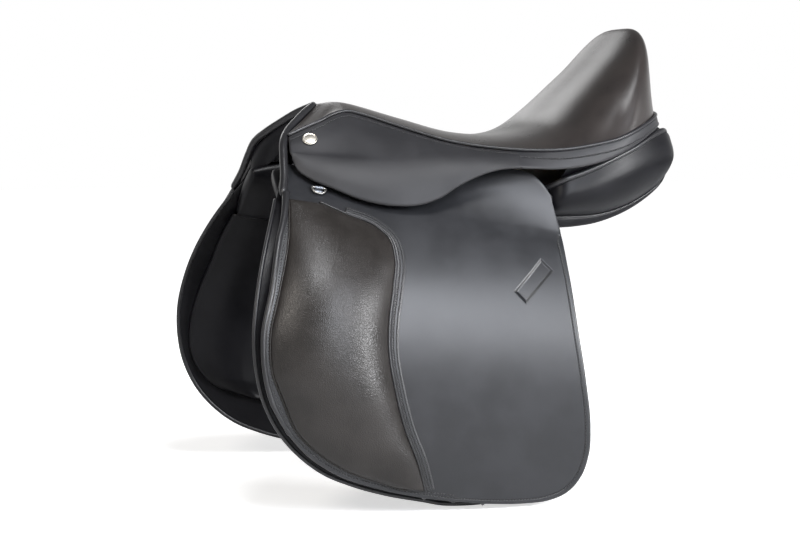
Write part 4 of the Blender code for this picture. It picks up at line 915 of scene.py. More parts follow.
@dataclass
class Workshop:
    """Gives each piece its finish, attaches most of them to a body, and hides the CAD nodes they stand for."""

    frame: dict
    count: int = 0

    def put(self, made: bpy.types.Object, finish: Finish, body: str, stands_for: tuple = (),
            fill: float | None = None) -> bpy.types.Object:
        """Dresses a piece that rides on one body.

        Args:
            made: The piece.
            finish: Its finish.
            body: The CAD body it moves with.
            stands_for: CAD nodes it replaces.
            fill: How tightly it is stuffed, if it is; not used.

        Returns:
            The piece.
        """
        self.dress(made, finish, stands_for, fill)
        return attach(made, body)

    def bend(self, made: bpy.types.Object, finish: Finish, moving: str, line: tuple,
             stands_for: tuple = ()) -> bpy.types.Object:
        """Dresses a leather that bends from the saddle to a moving body.

        Args:
            made: The piece.
            finish: Its finish.
            moving: Not used.
            line: Not used.
            stands_for: CAD nodes it replaces.

        Returns:
            The piece.
        """
        self.dress(made, finish, stands_for, None)
        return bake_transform(made)

    def cut(self, name: str, grid: Points, thickness: float, finish: Finish, side: Side,
            body: str = "saddle", nodes: tuple = (), rim: int = 5, edges: Points | None = None) -> None:
        """Cuts a leather of one side and puts it on a body.

        Args:
            name: Name of the piece without its side.
            grid: Outer face, in half widths.
            thickness: Thickness of the leather.
            finish: Its finish.
            side: Side of the saddle.
            body: The CAD body it moves with.
            nodes: CAD nodes it replaces, without their side.
            rim: Number of steps round the edge.
            edges: Distance from the leather's edge at each grid point.
        """
        made = leather(side.of(name), sided(grid, side), thickness, sided(SIDEWAYS, side), rim, edges)
        self.put(made, finish, body, tuple(side.of(node) for node in nodes))

    def weave(self, name: str, grid: Points, thickness: float, up: tuple = (0, 1, 0), outward: tuple = UP,
              node: str = "") -> None:
        """Puts a flat webbing on the saddle.

        Args:
            name: Name of the piece.
            grid: Its outer face.
            thickness: Thickness of the webbing.
            up: Direction of the second set of threads; the first runs along X.
            outward: Direction that the outer face looks in, roughly.
            node: CAD node it replaces.
        """
        made = leather(name, grid, thickness, outward, 3)
        flat_map(made, (0, 0, 0), (1, 0, 0), up)
        self.put(made, WEBBING, "saddle", (node,))

    def sew(self, name: str, path: Points, normals: Points, side: Side, body: str = "saddle",
            pitch: float = 0.0034, radius: float = 0.00058) -> None:
        """Sews a row of thread on one side, along a line of a leather's face.

        Args:
            name: Name of the piece without its side.
            path: Points on the leather's face, in half widths.
            normals: The face's normal at each point.
            side: Side of the saddle.
            body: The CAD body it moves with.
            pitch: Distance from one stitch to the next.
            radius: Radius of the thread.
        """
        made = stitches(side.of(name), sided(path, side), sided(normals, side), pitch, radius)
        self.put(made, THREAD, body)

    def pipe(self, name: str, path: Points, radius: Points, facing: Points, side: Side, body: str = "saddle",
             sides: int = 12, finish: Finish = BINDING_LEATHER) -> None:
        """Lays a round piping or roll on one side.

        Args:
            name: Name of the piece without its side.
            path: Points along its middle, in half widths.
            radius: One radius, or one for each point.
            facing: Direction or directions that its first points lean to.
            side: Side of the saddle.
            body: The CAD body it moves with.
            sides: Number of points round it.
            finish: Its finish.
        """
        self.put(tube(side.of(name), sided(path, side), radius, sided(facing, side), sides), finish, body)

    def dress(self, made: bpy.types.Object, finish: Finish, stands_for: tuple, fill: float | None) -> None:
        """Sets the material, hides the replaced nodes, and reports the piece."""
        made.data.materials.clear()
        made.data.materials.append(finish.material())
        if stands_for:
            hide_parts(*stands_for)
        self.count += 1
        LOG.info("%s: %d faces in %s", made.name, len(made.data.polygons), finish.name)

    def refinish(self, node: str, finish: Finish) -> None:
        """Gives a CAD node that stays in view a better material."""
        shown = self.frame["nodes"][node]
        for place in shown.material_slots:
            place.material = finish.material()
        LOG.info("%s keeps its shape, in %s", node, finish.name)


# Forms that several sub-assemblies share


@dataclass(frozen=True)
class FlapForm:
    """The surface that the flaps and the layers under them follow.

    Level is height above the fold's tilt: z = level - tilt (x - middle). Half width at the foot
    is foot_half; it shrinks towards the fold by (foot_half - fold_half) fall^flare, where fall
    runs from 0 at the foot to 1 at the fold, and above the fold by a parabola of the rise.
    """

    middle_x: float = -0.100
    tilt: float = 0.15
    fold_level: float = 0.016
    fold_half: float = 0.122
    foot_level: float = -0.277
    foot_half: float = 0.200
    flare: float = 3.4
    head_curve: float = 3.0
    spread_fold: float = 0.12
    spread_foot: float = 0.05
    spread_rise: float = 3.0

    @property
    def steepest(self) -> float:
        """Slope at the fold."""
        return self.flare * (self.foot_half - self.fold_half) / (self.fold_level - self.foot_level)

    def fall(self, level: Points) -> Points:
        """Share of the way from the foot to the fold."""
        return np.clip((level - self.foot_level) / (self.fold_level - self.foot_level), 0.0, 1.0)

    def slope(self, level: Points) -> Points:
        """How fast the half width grows as the level falls."""
        rise = np.maximum(level - self.fold_level, 0.0)
        return self.steepest * self.fall(level) ** (self.flare - 1.0) - 2.0 * self.head_curve * rise

    def half(self, x: Points, level: Points, depth: Points) -> Points:
        """Half width at a depth below the outer surface."""
        fall, rise = self.fall(level), np.maximum(level - self.fold_level, 0.0)
        half = self.foot_half - (self.foot_half - self.fold_half) * fall**self.flare
        half = half - self.steepest * rise + self.head_curve * rise**2
        spread = self.spread_foot + (self.spread_fold - self.spread_foot) * fall**4 + self.spread_rise * rise
        return half + spread * (x - self.middle_x) - depth * np.sqrt(1.0 + self.slope(level) ** 2)

    def points(self, x: Points, level: Points, depth: Points = 0.0) -> Points:
        """Points (x, half width, z) at a depth."""
        x, level, depth = np.broadcast_arrays(*(np.asarray(v, float) for v in (x, level, depth)))
        z = level - self.tilt * (x - self.middle_x)
        return np.stack([x, self.half(x, level, depth), z], axis=-1)

    def normals(self, x: Points, level: Points) -> Points:
        """Outward unit normals, from differences of a tenth of a millimetre."""
        step = 0.0001
        along = self.points(x + step, level) - self.points(x - step, level)
        down = self.points(x, level - step) - self.points(x, level + step)
        out = unit(np.cross(along, down))
        return out * np.where(out[..., 1:2] < 0.0, -1.0, 1.0)

    def on(self, line: Points, lift: float) -> tuple:
        """Points and normals of a line of (level, x), a lift above the outer surface."""
        return self.points(line[:, 1], line[:, 0], -lift), self.normals(line[:, 1], line[:, 0])

    def shifted(self, line: Points, inward: float) -> Points:
        """Line of (level, x) moved sideways on the surface.

        Args:
            line: Points of an outline, front edge first, then the foot, then the rear edge.
            inward: Distance towards the inside of the outline.

        Returns:
            The moved line.
        """
        scale = np.sqrt(1.0 + self.slope(line[:, 0]) ** 2)
        run = unit(np.stack([np.gradient(line[:, 0]) * scale, np.gradient(line[:, 1])], axis=1))
        across = np.stack([run[:, 1] / scale, -run[:, 0]], axis=1)
        return line + across * inward

    def distances(self, x: Points, level: Points, line: Points) -> Points:
        """Distance on the surface from each grid point to the nearest point of an outline."""
        scale = np.sqrt(1.0 + self.slope(level) ** 2)
        place = np.stack([level.ravel(), x.ravel()], axis=1).astype(np.float32)
        near, parts = line.astype(np.float32), 40
        out = [np.hypot((part[:, :1] - near[:, 0]) * weight[:, None], part[:, 1:] - near[:, 1]).min(axis=1)
               for part, weight in zip(np.array_split(place, parts), np.array_split(scale.ravel(), parts))]
        return np.concatenate(out).reshape(x.shape)


FORM = FlapForm()
FLAP_FRONT = [(0.060, -0.2435), (0.034, -0.2475), (0.016, -0.2525), (-0.006, -0.260), (-0.032, -0.271),
              (-0.083, -0.286), (-0.133, -0.299), (-0.164, -0.299), (-0.193, -0.293), (-0.226, -0.275),
              (-0.247, -0.252), (-0.262, -0.225), (-0.274, -0.174), (-0.2785, -0.130)]
FLAP_FOOT = [(-0.2795, -0.098)]
FLAP_REAR = [(0.060, 0.044), (0.030, 0.048), (-0.023, 0.046), (-0.085, 0.046), (-0.136, 0.050),
             (-0.183, 0.0535), (-0.215, 0.0515), (-0.239, 0.043), (-0.257, 0.028), (-0.268, 0.007),
             (-0.2745, -0.024), (-0.2785, -0.066)]
BINDING_RADIUS = 0.0045
THICK = {"flap": 0.0045, "skirt": 0.0036, "sweat": 0.0030, "strap": 0.0030, "guard": 0.0020, "loop": 0.0012}
SLIDE = 0.0009
GUARD_DEPTH = THICK["flap"] + 2 * SLIDE
STRAP_DEPTH = GUARD_DEPTH + THICK["guard"] + SLIDE
LOOP_DEPTH = STRAP_DEPTH + THICK["strap"] + SLIDE
SWEAT_DEPTH = LOOP_DEPTH + THICK["loop"] + SLIDE
PANEL_DEPTH = SWEAT_DEPTH + THICK["sweat"] + 2.5 * CLEARANCE


def edge_at(levels: Points, outline: tuple) -> Points:
    """X of an outline of (level, x) at each level."""
    dense = cubic_path(outline, 900)
    order = np.argsort(dense[:, 0])
    return np.interp(levels, dense[order, 0], dense[order, 1])


def fold_line(side: Side, x: float, level: float, reach: float) -> tuple:
    """Start and end of a leather's bend: points square to its fold, above and below it.

    Args:
        side: Side of the saddle.
        x: Where along the fold.
        level: Level of the fold.
        reach: Distance of each point from the fold.

    Returns:
        The two points.
    """
    here = FORM.points(x, level)
    along = unit(FORM.points(x + 0.02, level) - FORM.points(x - 0.02, level))
    down = FORM.points(x, level - 0.004) - FORM.points(x, level + 0.004)
    down = unit(down - along * np.dot(down, along))
    return tuple(sided(here - down * reach, side)), tuple(sided(here + down * reach, side))


@dataclass
class Seat:
    """Seat cover over its foam, the piping round it and the webs under it.

    Spine and edge have 13 stations from the pommel to the rear, and so have crown and hollow.
    Bowl and rim are (height, station, spread) of a bell over the rows. Foam and thin_rear count
    24 places from the pommel to the rear.
    """

    spine: tuple = (
        (-0.183, 0.134), (-0.165, 0.136), (-0.143, 0.133), (-0.090, 0.118), (-0.035, 0.104),
        (0.020, 0.103), (0.068, 0.116), (0.105, 0.148), (0.145, 0.191), (0.184, 0.222),
        (0.197, 0.205), (0.197, 0.168), (0.193, 0.131))
    edge: tuple = (
        (-0.2315, 0.053, 0.1015), (-0.197, 0.050, 0.116), (-0.163, 0.040, 0.127), (-0.118, 0.057, 0.114),
        (-0.062, 0.089, 0.095), (-0.004, 0.114, 0.086), (0.052, 0.131, 0.085), (0.100, 0.134, 0.092),
        (0.125, 0.131, 0.098), (0.146, 0.125, 0.106), (0.172, 0.109, 0.117), (0.190, 0.084, 0.124),
        (0.193, 0.052, 0.128))
    crown: tuple = (1.15, 1.5, 1.8, 2.0, 2.2, 2.3, 2.6, 3.0, 3.0, 3.0, 2.6, 2.2, 2.0)
    hollow: tuple = (0, 0, 0, 0, 0.1, 0.3, 0.6, 1.0, 0.9, 0.2, 0, 0, 0)
    dish: float = 0.008
    softness: float = 0.04
    bowl: tuple = (-0.0050, 8.1, 0.75)
    rim: tuple = (0.0022, 9.45, 0.5)
    hide: float = 0.0022
    places: float = 24.0
    foam: tuple = ((1, 8, 12, 18), (0.005, 0.012, 0.012, 0.009))
    thin_rear: tuple = (6.0, 7.5, 0.15)  # places from the rear, and the share of the depth left
    rear_end: tuple = ((0.1965, 0.028, 0.1295), (0.1978, 0.0, 0.1305))
    welt_radius: float = 0.0020
    welt_way: tuple = (0.85, 0.52)  # out and down from the edge, as shares of the reach
    web: float = 0.0016
    web_shares: tuple = (0.30, 0.84)  # how far across the seat each web's surface goes
    web_half: float = 0.030
    web_depths: tuple = (0.0150, 0.0170)

    def surface(self, rows: int, across: Points) -> Points:
        """Outer face: x and z run from the spine to the edge by |across|^crown, y by across.

        Args:
            rows: Rows from pommel to rear.
            across: Position of each column, -1 to 1.

        Returns:
            The grid.
        """
        spine, edge = by_row(self.spine, rows), by_row(self.edge, rows)
        soft = np.sqrt(across**2 + self.softness**2) - self.softness
        most = math.sqrt(1.0 + self.softness**2) - self.softness
        lean = (soft / most)[None, :] ** by_row(self.crown, rows)
        x = spine[:, :1] + (edge[:, :1] - spine[:, :1]) * lean
        z = spine[:, 1:] + (edge[:, 2:] - spine[:, 1:]) * lean
        z = z - by_row(self.hollow, rows) * self.dish * (1.0 - across[None, :] ** 2) ** 2
        grid = np.stack([x, edge[:, 1:2] * across[None, :], z], axis=-1)
        row = np.linspace(0.0, len(self.spine) - 1.0, rows)[:, None]
        lift = self.bell(row, self.bowl) * (1.0 - across**2) + self.bell(row, self.rim) * (1.0 - across**4)
        return grid + grid_normals(grid, UP) * lift[..., None]

    def bell(self, row: Points, form: tuple) -> Points:
        """Bell along the rows: height exp(-((row - middle) / spread)^2)."""
        height, middle, spread = form
        return height * np.exp(-(((row - middle) / spread) ** 2))

    def path(self, count: int) -> Points:
        """The seat's lower edge on one side, from the pommel corner to the rear centre."""
        return cubic_path(np.concatenate([by_row(self.edge, 25), self.rear_end]), count)

    def beside(self, count: int, out: float, down: float) -> Points:
        """The edge path moved out and down."""
        path = self.path(count)
        along = np.gradient(path, axis=0)
        along[-1] = (0.0, -1.0, 0.0)
        flat = unit(np.stack([-along[:, 1], along[:, 0], np.zeros(count)], axis=1))
        return path + flat * out - np.array([0.0, 0.0, down])

    def build(self, shop: Workshop) -> None:
        """Cover with foam, welt and webs."""
        rows, columns = 145, 97
        across = np.sin(np.linspace(-1.0, 1.0, columns) * math.pi / 2.0)
        outer = self.surface(rows, across)
        place = np.linspace(0.0, self.places, rows)
        foam = np.interp(place, *self.foam)
        depth = self.hide + foam[:, None] * (1.0 - across[None, :] ** 8) * 0.97
        thin_from, thin_to, least = self.thin_rear
        depth *= blended(self.places - place, thin_from, thin_to)[:, None] * (1.0 - least) + least
        cover = slab("seat_pad", outer, outer - grid_normals(outer, UP) * depth[..., None])
        shop.put(cover, SEAT_LEATHER, "saddle", ("seat_cover", "seat_foam"), fill=0.95)

        reach = self.welt_radius + CLEARANCE
        half = self.beside(220, self.welt_way[0] * reach, self.welt_way[1] * reach)
        path = np.concatenate([sided(half, Side.LEFT), sided(half[-2::-1], Side.RIGHT)])
        welt = tube("seat_piping", path, self.welt_radius, UP, 16)
        shop.put(welt, BINDING_LEATHER, "saddle", ("seat_welt",))
        self.build_webs(shop)

    def build_webs(self, shop: Workshop) -> None:
        """The long web and the cross web, each a strip of the seat's surface some way below it."""
        rows, columns, share = 97, 17, self.web_shares[0]
        low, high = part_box("web_fore_aft")
        grid = self.surface(rows, np.linspace(-share, share, columns))[20:62]
        middle = grid[:, columns // 2, 0]
        grid = grid[(middle > low.x) & (middle < high.x)]
        grid[..., 1] = np.linspace(-self.web_half, self.web_half, columns)
        grid = grid - grid_normals(grid, UP) * self.web_depths[0]
        shop.weave("seat_web_long", grid, self.web, node="web_fore_aft")
        low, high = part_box("web_cross")
        columns, share = 41, self.web_shares[1]
        grid = self.surface(rows, np.linspace(-share, share, columns))
        grid = grid - grid_normals(grid, UP) * self.web_depths[1]
        middle = grid[:, columns // 2, 0]
        grid = grid[(middle > low.x) & (middle < high.x)]
        shop.weave("seat_web_cross", grid, self.web, node="web_cross")


@dataclass
class Skirts:
    """Skirts, the strips that carry on round the cantle, and their studs.

    Lower edges are points (x, half width, z). The bulge fades to the rear by the shares of fade.
    """

    seat: Seat
    fold_front: tuple = (-0.234, 0.072, 0.083)
    fold_rear: tuple = (0.006, 0.1295, 0.0768)
    lower: tuple = (
        (-0.2345, 0.0765, 0.0745), (-0.231, 0.084, 0.065), (-0.2205, 0.093, 0.056), (-0.199, 0.106, 0.046),
        (-0.171, 0.118, 0.034), (-0.130, 0.128, 0.027), (-0.109, 0.130, 0.028), (-0.087, 0.131, 0.035),
        (-0.065, 0.132, 0.048), (-0.042, 0.133, 0.0585), (-0.020, 0.135, 0.0650), (0.002, 0.138, 0.0668))
    strip_lower: tuple = (
        (0.016, 0.139, 0.0660), (0.047, 0.142, 0.0650), (0.096, 0.141, 0.0715), (0.137, 0.133, 0.0860),
        (0.168, 0.118, 0.1010), (0.192, 0.092, 0.1105), (0.206, 0.050, 0.116), (0.211, 0.00025, 0.1165))
    top_way: tuple = (0.70, 0.71)  # out and down from the seat's edge, as shares of the reach
    bulge: float = 0.09
    top_bulge: float = 0.02
    strip_bulge: float = 0.05
    bulge_way: tuple = (0.0, 0.72, 0.69)
    fade: tuple = ((0.75, 1.0), (1.0, 0.3))
    middle_x: float = -0.114
    bend: tuple = (0.004, 0.010)  # reach above and below the fold
    thread_inset: float = 0.0052
    strip_start: tuple = (0.0035, 0.1382, 0.0667)
    strip_inset: float = 0.0084
    strip_edges: tuple = (0.0136, 0.0012)  # edge distance at its top, and the least one
    stud_x: float = -0.212
    stud_radius: float = 0.008

    def top(self, count: int) -> Points:
        """Upper edge, just outside and below the piping."""
        reach = 2 * self.seat.welt_radius + 3 * CLEARANCE
        return self.seat.beside(count, self.top_way[0] * reach, self.top_way[1] * reach)

    def on_fold(self, x: Points) -> Points:
        """Points of the straight fold at each x."""
        front, rear = np.array(self.fold_front), np.array(self.fold_rear)
        return front + (rear - front) * ((np.asarray(x) - front[0]) / (rear[0] - front[0]))[..., None]

    def bulged(self, top: Points, low: Points, share: float, bulge: Points) -> Points:
        """Line between two edges that stands out by 4 s (1 - s) of a share of the height."""
        height = np.linalg.norm(low - top, axis=-1, keepdims=True)
        out = np.array(self.bulge_way) * height * bulge
        return top + (low - top) * share + out * 4.0 * share * (1.0 - share)

    def skirt_grid(self) -> Points:
        """Skirt from the piping over the fold to its lower edge, smooth through seven lines."""
        edge, columns = self.top(600), 150
        rear_x = self.fold_rear[0] - 0.001
        xs = np.linspace(edge[0, 0], rear_x, columns)
        front = edge[:np.argmax(edge[:, 0]) + 1]
        top = np.stack([np.interp(xs, front[:, 0], front[:, k]) for k in range(3)], axis=1)
        fold = self.on_fold(np.linspace(self.fold_front[0], rear_x, columns))
        low = cubic_path(self.lower, columns)
        swell = self.bulge * np.interp(np.linspace(0.0, 1.0, columns), *self.fade)[:, None]
        lines = [top, self.bulged(top, fold, 0.5, self.top_bulge), fold]
        lines += [self.bulged(fold, low, share, swell) for share in (0.25, 0.5, 0.75)] + [low]
        return by_row(np.stack(lines), 49)

    def strip_grid(self) -> Points:
        """Strip from the skirt's rear end round to the middle of the cantle."""
        edge, columns = self.top(600), 130
        rear = edge[np.argmax(edge[:, 0] > self.fold_rear[0] - 0.002):]
        top = cubic_path(rear[::12].tolist() + [rear[-1].tolist()], columns)
        low = cubic_path([self.strip_start, *self.strip_lower], columns)
        top[-1, 1] = low[-1, 1]
        lines = [self.bulged(top, low, share, self.strip_bulge) for share in (0.0, 0.25, 0.5, 0.75, 1.0)]
        return by_row(np.stack(lines), 15)

    def build(self, shop: Workshop, side: Side) -> None:
        """Skirt, strip, stud and thread of one side."""
        grid, strip = self.skirt_grid(), self.strip_grid()
        above, below, column, first = 16, 30, 75, 9
        middle = self.on_fold(np.array(self.middle_x))
        along = unit(np.array(self.fold_rear) - np.array(self.fold_front))
        down = grid[below, column] - grid[above, column]
        down = unit(down - along * np.dot(down, along))
        line = tuple(tuple(sided(middle + down * reach, side)) for reach in (-self.bend[0], self.bend[1]))
        made = leather(side.of("skirt_cut"), sided(grid, side), THICK["skirt"], sided(SIDEWAYS, side), 6,
                       lengths(grid))
        shop.bend(made, SKIRT_LEATHER, side.of("skirt_body"), line, (side.of("skirt_band"), side.of("skirt")))
        reach, least = self.strip_edges
        shop.cut("cantle_strip", strip, THICK["skirt"], SKIRT_LEATHER, side, rim=6,
                 edges=np.maximum(reach - lengths(strip), least))

        normals = grid_normals(grid, SIDEWAYS)
        line, facing = at_distance(grid, normals, self.thread_inset)
        shop.sew("skirt_thread", line[first:], facing[first:], side)
        shop.sew("strip_thread", *at_distance(strip, grid_normals(strip, SIDEWAYS), self.strip_inset), side)
        self.build_stud(shop, side, grid, normals)

    def build_stud(self, shop: Workshop, side: Side, grid: Points, normals: Points) -> None:
        """Bare nickel stud with a rolled rim and its shank; the cap's radii are shares of its radius."""
        row, columns = 8, 60
        column = int(np.argmin(np.abs(grid[row, :columns, 0] - self.stud_x)))
        shank = [(0.0008, -0.0042), (0.0012, -0.0038), (0.0012, 0.0001)]
        cap = [(0.93, 0.0001), (1.0, 0.0004), (1.02, 0.0010), (1.0, 0.0016), (0.96, 0.0020), (0.91, 0.0021),
               (0.87, 0.0018), (0.84, 0.0016), (0.70, 0.0018), (0.45, 0.0021), (0.2, 0.0022), (0.02, 0.00225)]
        profile = shank + [(share * self.stud_radius, height) for share, height in cap]
        made = turned(side.of("stud_cap"), profile, sided(grid[row, column], side),
                      sided(normals[row, column], side))
        shop.put(made, NICKEL, "saddle", (side.of("stud"),))


@dataclass
class Flaps:
    """Flap leathers with their rolled front edges, knee pads, bands and sweat flaps.

    Outlines are points (level, x). Head_edge gives the level of the head's edge at each x. Roll,
    pad_along and pad_crest give the roll's radius, the pad's height and its crest at each level.
    """

    outline: Points = field(default_factory=lambda: cubic_path(
        FLAP_FRONT[2:] + FLAP_FOOT + FLAP_REAR[:0:-1], 900))
    foot: float = -0.2785
    head: float = 0.048
    head_rear: float = 0.060
    head_edge: tuple = ((-0.24, -0.100, -0.040, 0.008, 0.030, 0.041, 0.048),
                        (0.048, 0.048, 0.066, 0.077, 0.072, 0.060, 0.046))
    roll: tuple = ((-0.24, -0.12, -0.02, 0.016), (0.0024, 0.0027, 0.0036, BINDING_RADIUS))
    roll_start: tuple = (0.0165, -0.2523)
    roll_thin: tuple = (0.19, 0.225, 0.25)  # depths between which it thins, and by what share
    bunch: float = 2.6  # how far the flap's columns crowd towards its edges
    edge_far: float = 0.02
    bend_x: float = -0.10
    bend_reach: float = 0.006
    thread_inset: float = 0.0042
    border_inset: float = 0.0072
    pad_front: tuple = (
        (0.010, -0.2485), (-0.031, -0.259), (-0.082, -0.276), (-0.132, -0.290), (-0.163, -0.290),
        (-0.192, -0.280), (-0.225, -0.264), (-0.244, -0.241), (-0.257, -0.215), (-0.267, -0.174),
        (-0.272, -0.150))
    pad_rear: tuple = (
        (0.020, -0.240), (0.012, -0.215), (0.004, -0.191), (-0.005, -0.161), (-0.015, -0.150),
        (-0.033, -0.148), (-0.063, -0.155), (-0.099, -0.164), (-0.129, -0.167), (-0.169, -0.162),
        (-0.209, -0.152), (-0.244, -0.138), (-0.270, -0.131))
    pad_crown: float = 0.0215
    pad_edge: float = 0.0022
    pad_levels: tuple = (0.0118, -0.2705)
    pad_along: tuple = ((-0.271, -0.262, -0.235, -0.18, -0.070, -0.020, 0.0118),
                        (0.03, 0.25, 0.66, 1.0, 1.0, 0.66, 0.10))
    pad_crest: tuple = ((-0.27, -0.18, -0.05, 0.0), (0.55, 0.56, 0.42, 0.42))
    pad_sewn: float = 0.0036
    piping: tuple = (0.0016, 0.0009, 0.0017)  # radius, shift and lift
    seam: tuple = (0.0011, 0.0006)  # radius and lift
    band_width: float = 0.012
    band: float = 0.0016
    band_arch: float = 0.0006
    band_margins: tuple = (0.0028, 0.001)
    band_threads: tuple = (0.0050, 0.0088)
    band_stitch: tuple = (0.0027, 0.00055)  # pitch and radius
    stuffing: Stuffing = Stuffing(cap=0.006)
    sweat_front: tuple = (
        (0.041, -0.240), (0.008, -0.257), (-0.029, -0.274), (-0.060, -0.286), (-0.096, -0.296),
        (-0.135, -0.302), (-0.166, -0.301), (-0.195, -0.295), (-0.228, -0.278), (-0.250, -0.256),
        (-0.265, -0.231), (-0.273, -0.205), (-0.280, -0.165), (-0.283, -0.125))
    sweat_rear: tuple = (
        (0.041, 0.030), (-0.100, 0.030), (-0.200, 0.030), (-0.235, 0.022), (-0.258, -0.002),
        (-0.274, -0.040), (-0.283, -0.085))
    sweat_foot: tuple = ((-0.2845, -0.105),)
    sweat_levels: tuple = (0.034, -0.282)
    sweat_margin: float = 0.0015
    sweat_binding: float = 0.0024

    def roll_radius(self, level: Points) -> Points:
        """Radius of the rolled front edge, thinner towards the foot."""
        return np.interp(level, *self.roll)

    def flap_grid(self) -> tuple:
        """X and level of the flap's grid points, from its head under the skirt to its foot."""
        head_rows = 13
        fold = FORM.fold_level
        levels = fold + (self.foot - fold) * np.sin(np.linspace(0.0, 1.0, 71)[1:] * math.pi / 2.0) ** 0.9
        up = np.linspace(1.0, 0.0, head_rows)
        turn = (np.linspace(0.0, 1.0, 81) - 0.5) * self.bunch
        across = np.sin(turn) / math.sin(self.bunch / 2.0) * 0.5 + 0.5
        every = np.concatenate([fold + (self.head - fold) * up, levels])
        rear_levels = np.concatenate([fold + (self.head_rear - fold) * up, levels])
        front = edge_at(every, FLAP_FRONT) + self.roll_radius(every) * blended(every, -0.25, -0.23)
        x = columns_between(front, edge_at(rear_levels, FLAP_REAR), across)
        at, height = np.array(self.head_edge)
        top = hermite(at, height, x[:head_rows].ravel()).reshape(head_rows, -1)
        level = np.broadcast_to(every[:, None], x.shape).copy()
        level[:head_rows] = fold + (top - fold) * up[:, None]
        return x, level

    def build(self, shop: Workshop, side: Side) -> None:
        """All pieces of one side."""
        self.build_flap(shop, side)
        self.build_pad(shop, side)
        self.build_band(shop, side)
        self.build_sweat_flap(shop, side)

    def build_flap(self, shop: Workshop, side: Side) -> None:
        """Flap in one leather, its rolled front edge and the thread round it."""
        body = side.of("flap")
        x, level = self.flap_grid()
        grid = sided(FORM.points(x, level), side)
        far = self.edge_far
        edges = FORM.distances(x, level, self.outline) * blended(far - level, 0.0, 0.006)
        edges += far * blended(level, 0.014, far)
        made = leather(side.of("flap_cut"), grid, THICK["flap"], sided(SIDEWAYS, side), 7, edges)
        bend = fold_line(side, self.bend_x, FORM.fold_level, self.bend_reach)
        shop.bend(made, FLAP_LEATHER, body, bend, (body, side.of("flap_head")))

        front = cubic_path([self.roll_start, *FLAP_FRONT[3:10]], 160)
        thin_from, thin_to, share = self.roll_thin
        radius = self.roll_radius(front[:, 0]) * (1.0 - share * blended(-front[:, 0], thin_from, thin_to))
        middle = FORM.points(front[:, 1] + radius * 0.9, front[:, 0], THICK["flap"] / 2.0)
        made = tube(side.of("flap_roll"), sided(middle, side), radius, (0.0, side.value, 0.0), 18)
        shop.bend(made, BINDING_LEATHER, body, bend)

        rear = self.outline[self.outline[:, 0] < FORM.fold_level - 0.008]
        rear = FORM.shifted(rear, self.thread_inset)[len(rear) // 2 - 160:]
        shop.sew("flap_thread", *FORM.on(rear, 0.0), side, body)
        front = FORM.shifted(cubic_path(FLAP_FRONT[3:] + FLAP_FOOT, 500), self.border_inset)
        shop.sew("border_thread", *FORM.on(front, 0.0), side, body)

    def pad_form(self) -> bpy.types.Object:
        """Pad before it is filled, on the left side.

        Height over the flap is edge + crown f(level) (1 - s^2.1)^0.85, where s is the distance from
        the crest as a share of the way to the pad's edge.
        """
        levels = self.pad_levels[0] + np.diff(self.pad_levels) * self.eased(76, 0.3)
        front, rear = edge_at(levels, self.pad_front) + CLEARANCE, edge_at(levels, self.pad_rear) - CLEARANCE
        across = self.eased(37, 0.4)
        x = columns_between(front, rear, across)
        level = np.broadcast_to(levels[:, None], x.shape)
        along = np.interp(levels, *self.pad_along)
        along = np.convolve(np.pad(along, 4, mode="edge"), np.ones(9) / 9.0, mode="valid")
        crest = np.interp(levels, *self.pad_crest)[:, None]
        sunk = np.where(across < crest, 1.0 - across / crest, (across - crest) / (1.0 - crest))
        height = self.pad_edge + self.pad_crown * along[:, None] * (1.0 - sunk**2.1) ** 0.85
        top = FORM.points(x, level, -2 * CLEARANCE) + np.array([0.0, 1.0, 0.0]) * height[..., None]
        base = FORM.points(x, level, -CLEARANCE)
        return slab("pad_form", sided(top, Side.LEFT), sided(base, Side.LEFT))

    def eased(self, count: int, ease: float) -> Points:
        """Shares from 0 to 1 that lie closer at both ends: s and (1 - cos pi s) / 2, mixed."""
        share = np.linspace(0.0, 1.0, count)
        return (1.0 - ease) * share + ease * (0.5 - 0.5 * np.cos(share * math.pi))

    def height(self, points: Points) -> Points:
        """Height of points over the flap's face, measured along Y."""
        level = points[:, 2] + FORM.tilt * (points[:, 0] - FORM.middle_x)
        return np.abs(points[:, 1]) - FORM.half(points[:, 0], level, 0.0)

    def build_pad(self, shop: Workshop, side: Side) -> None:
        """Knee pad, filled by simulation once and mirrored, with piping along its rear edge."""
        body = side.of("flap")
        if side is Side.LEFT:
            made = self.stuffing.fill("knee_roll_left", self.pad_form(), lambda p: self.height(p) < self.pad_sewn)
            points = coordinates(made.data)
            points[:, 1] -= np.maximum(CLEARANCE - self.height(points), 0.0)
            made.data.vertices.foreach_set("co", points.reshape(-1))
        else:
            made = other_side("knee_roll_right", bpy.data.objects["knee_roll_left"])
        shop.put(made, PAD_LEATHER, body, (side.of("knee_pad"),), fill=0.9)

        radius, shift, lift = self.piping
        line, normals = FORM.on(FORM.shifted(cubic_path(self.pad_rear[1:], 260), shift), lift)
        shop.pipe("pad_piping", line, radius, normals, side, body)
        radius, lift = self.seam
        line, normals = FORM.on(cubic_path(self.pad_front, 260), lift)
        shop.pipe("pad_seam", line, radius, normals, side, body, 10, PAD_LEATHER)

